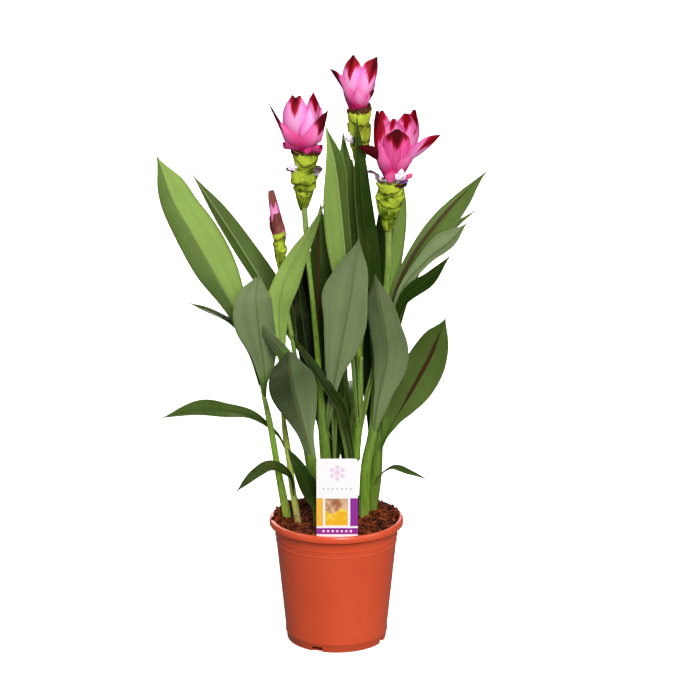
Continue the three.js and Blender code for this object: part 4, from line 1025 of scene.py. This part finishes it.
silk = Finish("pink bract", Specular_IOR_Level=0.08)
along, side, flush, burnt, deep, broad = silk.stored("along", "side", "flush", "burnt", "deep", "broad")
aside = abs(side)
dull = broad.rise(0.6, 0.9)
flames = silk.streaks(side * 5, along * 0.9, flush * 9, detail=4, roughness=0.65)
veins = silk.streaks(side * 13, along * 0.5, flush * 5)
pink = aside.shades((252, 168, 222), (244, 124, 196), 0.0, 0.9)
deep_pink = veins.shades((214, 34, 116), (236, 76, 148))
pink = silk.mix(deep, pink, deep_pink)
pink = silk.mix(along.rise(0.04, 0.56, 1, 0) * (dull * -0.7 + 1), pink, (198, 26, 100))
pink = silk.mix(aside.rise(0.8, 1.0) * 0.5, pink, (214, 56, 132))
pink = silk.tinted(pink, veins * 0.26 + 0.85)
narrow = aside * (broad * -0.2 + 0.24)
reddened = along + flames * 0.26 - 0.13 - narrow + aside.rise(0.0, 0.3, 0.07, 0.0) - 1 + flush
red = reddened.shades((196, 34, 76), (144, 6, 26), 0.0, 0.14)
red = silk.mix(dull, red, veins.shades((104, 40, 40), (170, 104, 92)))
scorch = (reddened + burnt * 0.34 - 0.3).rise(0.0, 0.2) * (dull * -0.7 + 1)
red = silk.mix(scorch, red, (74, 3, 12))
red = silk.mix((along + burnt * 0.06).rise(0.98, 1.05), red, (44, 14, 12))
tip = reddened.rise(-0.03, 0.07) * flush.rise(0.0, 0.03)
silk.paint(Base_Color=silk.mix(tip, pink, red), Roughness=veins * 0.2 + scorch * 0.3 + 0.4)
silk.relief(veins * 0.6 + flames * 0.2, 0.0003)


def bract(turn, half, rib, flush=0, burnt=0, deep=0, broad=0, wrap=50, notch=0, outline="pointed"):
    """A bract of pink_bracts. turn is the azimuth that its outer side looks to, flush how
    far its tip is red, burnt how dark that is, and wrap how far it wraps round the head."""
    paint = {"flush": flush, "burnt": burnt, "deep": deep, "broad": broad}
    curve = {"channel": wrap, "cup": wrap, "phase": turn, "notch": notch}
    return turn, {"half": half, "rib": rib, "outline": outline, **curve, **paint}


def pink_bracts(head, *bracts):
    """All the pink bracts of one head, as one piece."""
    mesh = blank("along", "side", "reach", "length", "tone", "flush", "burnt", "deep", "broad")
    for turn, shape in bracts:
        head.sheet(mesh, face=-head.outward(turn), waves=1.5, rows=30, cells=18, **shape)
    node = f"{head.name}_pink_bracts"
    finished(f"{head.name}_bracts", mesh, "pink_bract", node, silk, thick=PINK_THICKNESS)


pink_bracts(
    left_head,
    bract(95, 12, [(-1, 5, -1), (-1, 15, 13), (0, 13, 25), (1, 9, 33.5)]),
    bract(140, 10, [(-7, 4, -1), (-14, 9, 12.5), (-14, 8, 26), (-11.5, 5, 36)]),
    bract(60, 10, [(2.5, 5, -1), (7.5, 11, 13.5), (8.5, 10, 31.5), (6.5, 5, 48)], flush=0.36),
    bract(355, 9, [(5, -1, 1), (12, -1, 10.5), (14.5, 0, 24.5), (13.5, 1, 36)]),
    bract(222, 12, [(-5, -9, -2), (-13.5, -16, 7), (-20.5, -13, 18), (-27, -4, 29), (-32, 1, 38.5)],
        flush=0.5, burnt=1, deep=0.6, broad=0.5, wrap=58, outline="slim"),
    bract(262, 14.5, [(-5.5, -4, -1), (-7.5, -11.5, 10.5), (-9.5, -15, 26), (-9.5, -13, 38),
        (-8.5, -8, 48.5)], flush=0.34, burnt=0.6, broad=-0.7, wrap=64, notch=3, outline="notched"),
    bract(295, 9, [(-2.5, -6, -0.5), (2, -14, 11.5), (4.5, -14, 26), (3.5, -9, 37)]),
    bract(308, 12, [(0, -9, -2), (7, -17, 8), (12.5, -14.5, 19), (19, -6, 34)], flush=0.5, burnt=1, deep=0.45,
        broad=0.5, outline="horn"),
    bract(215, 7, [(-5, -8, -2.5), (-14, -12.5, 2.5), (-20.5, -12.5, 7.5)], flush=0.2, burnt=1, deep=0.9,
        wrap=20),
    bract(325, 4.5, [(4.5, -6, -0.5), (9.5, -9, 1.5), (13, -10, 4.5)], flush=0.9, burnt=1, deep=1, wrap=40),
    bract(310, 6, [(3, -8, -3), (10, -13, 0.5), (14.5, -12, 5)], flush=0.3, burnt=1, deep=0.9, wrap=20),
    bract(275, 6, [(-1.5, -13.5, 7.5), (1, -14.6, 3), (1, -13.6, -2.4)], deep=1, wrap=60, outline="blunt"),
)
pink_bracts(
    top_head,
    bract(100, 10, [(0, 3, -1), (1, 10, 12), (1.5, 9, 24.5), (2.5, 5, 34.5)]),
    bract(150, 8, [(-3.5, 3, -1), (-9.5, 6, 12.5), (-11, 6, 25), (-9, 4, 35.5)]),
    bract(40, 8, [(4.5, 3, -1), (9.5, 7, 12.5), (12, 6, 23), (13, 4, 32)]),
    bract(246, 11.5, [(-3.5, -5, -2), (-7, -10, 13.5), (-8, -10.5, 29.5), (-5, -4, 46.5)], flush=0.38,
        burnt=0.5, wrap=58, outline="full"),
    bract(300, 11, [(2.5, -6, -2), (5.5, -11, 14), (10, -9, 29), (15.5, -3, 44.5)], flush=0.46, burnt=0.5,
        wrap=60, outline="full"),
    bract(205, 7.5, [(-3.5, -5, -0.5), (-9.5, -9, 9), (-14.5, -6, 20), (-25, 0, 34)], flush=0.42, burnt=1,
        deep=0.35, wrap=56),
    bract(330, 4, [(5, -5, -0.5), (8.5, -8, 7), (11, -8, 12.5), (13.5, -7, 17)], flush=0.5, burnt=0.9,
        deep=0.3),
    bract(268, 8, [(1, -6, 0), (1, -10, 5), (0, -12.5, 11.5), (-2, -12.5, 17.5)], deep=0.4),
)
pink_bracts(
    right_head,
    bract(110, 13.5, [(-0.5, 3, 0.5), (-2, 8, 22), (-0.5, 8, 39), (2, 6, 52)], flush=0.2, deep=0.3,
        outline="round"),
    bract(85, 12, [(3, 4, 0), (9.5, 11, 21.5), (12.5, 12, 41), (13, 9, 56)], flush=0.28, burnt=0.2, deep=0.2,
        wrap=40, outline="blunt"),
    bract(40, 11, [(5, 3, 0.5), (15.5, 8, 21.5), (20.5, 9, 41.5), (20.5, 6, 59.5)], flush=0.34, burnt=0.35,
        deep=0.15, wrap=44, outline="blunt"),
    bract(130, 10, [(-3, 1, 0.5), (-7.5, 4, 23), (-9.5, 6, 42), (-9, 6, 59)], flush=0.3, burnt=0.3, deep=0.3,
        outline="blunt"),
    bract(215, 9.5, [(-5.5, -4, 1.5), (-11, -7, 16.5), (-13.5, -6, 34), (-13.5, -3, 47), (-13, 0, 60)],
        flush=0.6, burnt=0.25, deep=0.5, wrap=54, outline="blunt"),
    bract(325, 7.5, [(5, -6, 3), (16, -10, 19.5), (27, -8, 30), (42.5, -4, 40)], flush=0.44, burnt=0.1,
        deep=0.2, wrap=26),
    bract(222, 6, [(-4, -6, 3), (-10, -10, 17), (-17.5, -9, 25.5), (-29, -5, 30)], flush=0.8, burnt=1,
        deep=0.7, wrap=40),
    bract(300, 10, [(3, -7, 1.5), (10.5, -13, 15), (15, -13, 26.5), (15, -11, 35)], deep=0.65),
    bract(240, 9, [(-2, -7, 1.5), (-7.5, -13, 15), (-8.5, -13, 26.5), (-5.5, -11, 35)], deep=0.75),
    bract(270, 13.5, [(0.5, -6, 0.5), (2, -14, 14.5), (4, -18, 32), (4.5, -17, 47)], flush=0.34, burnt=0.9,
        deep=0.85, broad=0.3, outline="round"),
    bract(262, 6.4, [(-1.5, -12.5, 11), (-1, -13.8, 5.5), (-1.5, -13, -0.6)], deep=0.8, wrap=60,
        outline="blunt"),
)
pink_bracts(
    bud_head,
    bract(100, 7, [(0.7, 4, -2), (-2.3, 3.8, 11.5), (-5.3, 3.2, 26), (-7.2, 2.2, 38)], flush=0.3, burnt=0.5,
        deep=0.3, broad=1, wrap=88, outline="even"),
    bract(275, 7, [(0.7, -4, -2), (-2.3, -3.8, 11.5), (-5.3, -3.2, 26), (-7.2, -2.2, 38.5)], flush=0.34,
        burnt=0.1, deep=0.2, broad=1, wrap=88, outline="even"),
    bract(60, 8.2, [(0.7, 4.8, -3), (-1.3, 4.8, 5), (-2.6, 4.4, 11), (-3.8, 4, 17)], flush=0.9, deep=0.3,
        broad=1, wrap=88, outline="sleeve"),
    bract(262, 8.2, [(0.7, -4.8, -3), (-1.3, -4.8, 5), (-2.6, -4.4, 11), (-3.8, -4, 18)], flush=0.84,
        burnt=0.1, deep=0.3, broad=1, wrap=88, outline="sleeve"),
)


# True flowers: small thin-skinned things with a hood, two wings and a violet lip, each
# looking out from under the lip of a green pouch. The older ones have shrivelled.
PETAL_THICKNESS = 0.3
THROAT_RADII = [1.3, 1.6]
THROAT_DROP = Vector((0, 0, -3))
tissue = Finish("petal", Specular_IOR_Level=0.3)
along, side, fresh, violet, rosy = tissue.stored("along", "side", "fresh", "lip", "rosy")
crease = tissue.cloud(500, 3, 0.6)
stripes = tissue.streaks(side * 6, along * 1.5)
white = tissue.mix(rosy, crease.shades((238, 214, 240), (254, 244, 253)), (226, 96, 150))
purple = crease.shades((84, 44, 104), (140, 90, 164))
dry = crease.shades((44, 24, 40), (116, 82, 78), 0.35, 0.65)
colour = tissue.mix(fresh.rise(0.1, 0.85), dry, (stripes + violet).shades(white, purple, 0.75, 1.3))
tissue.paint(Base_Color=colour, Roughness=crease * 0.3 + 0.4)
tissue.relief(crease, 0.0006)


def petal(half, rib, fresh, lip=0, rosy=0):
    """A petal of a flower: how fresh it is, how violet and how pink."""
    return {"half": half, "rib": rib, "fresh": fresh, "lip": lip, "rosy": rosy}


def flower(node, head, slot, *petals):
    """One true flower, its petals on a short throat that starts inside the head."""
    mesh = blank("along", "side", "reach", "length", "tone", "fresh", "lip", "rosy")
    for shape in petals:
        curve = {"channel": 60, "cup": 50, "phase": shape["half"] * 7, "rows": 14, "cells": 10}
        head.sheet(mesh, face=(0, -0.55, 0.8), outline="blunt", **curve, **shape)
    start, end = [Vector(point) for point in petals[0]["rib"][:2]]
    throat = [head.crown + start * 0.7 + THROAT_DROP, head.crown + end]
    tube(mesh, throat, THROAT_RADII, sides=10, rows=4, fresh=petals[0]["fresh"])
    finished(f"{node}_petals", mesh, slot, node, tissue, thick=PETAL_THICKNESS)


flower(
    "white_flower_left", left_head, "white_petal",
    petal(3.4, [(-8, -5, -19), (-12, -7, -15.5), (-14.5, -6, -12.5)], 1),
    petal(2.8, [(-9, -6, -19), (-13, -9, -17), (-15.5, -9, -15)], 1, lip=0.3),
    petal(2.4, [(-9, -5, -20), (-14, -6, -18.5), (-17, -5, -16.5)], 0.8, lip=0.8),
    petal(2, [(-9, -4, -21), (-14, -4, -19.5), (-18, -3, -17.5)], 0),
)
flower(
    "wilted_flower_left", left_head, "wilted_petal",
    petal(3.4, [(5, -6, -22), (10, -8, -19), (14, -7, -18)], 0.25),
    petal(2.6, [(5, -6, -21), (10, -7, -17), (14.5, -6, -17.5)], 0),
    petal(2.2, [(6, -8, -22), (10, -10, -21), (13, -9, -21)], 0.5),
)
flower(
    "pink_flower_top", top_head, "white_petal",
    petal(3.2, [(-5, -6, -29), (-9, -8, -25.5), (-12.5, -7, -23)], 0.8, lip=0.1),
    petal(2.6, [(-5, -7, -30), (-9, -9, -27.5), (-13, -8, -26)], 0.55, lip=0.1),
    petal(2.2, [(-5, -5, -27), (-8, -6, -23), (-10, -6, -20.5)], 0.9),
)
flower(
    "white_flower_right", right_head, "white_petal",
    petal(3.4, [(6, -9, -1), (8, -15, 6), (9, -15, 12)], 1),
    petal(3, [(5, -9, -1), (5, -15, 4), (3.5, -16, 8)], 1),
    petal(2.8, [(7, -9, -1), (10, -15, 4), (12, -15, 8)], 1, lip=0.2),
    petal(2.6, [(6, -9, -2), (10, -15, 0), (15, -16, 2)], 0.9, lip=1),
    petal(3.4, [(8, -8, 0), (14, -11, 3), (18, -10, 7)], 0.75, lip=0.1, rosy=1),
)
flower(
    "wilted_flower_right", right_head, "wilted_petal",
    petal(2, [(-8, -6, 0), (-12, -8, 4), (-17, -7, 7.5), (-22, -5, 7)], 0),
    petal(2.8, [(-8, -7, -1), (-12, -10, 2), (-14, -10, 5)], 0.3, lip=0.3),
    petal(2.6, [(-7, -8, -1), (-9, -11, 2), (-9.5, -11, 5)], 0.5, lip=0.2),
)
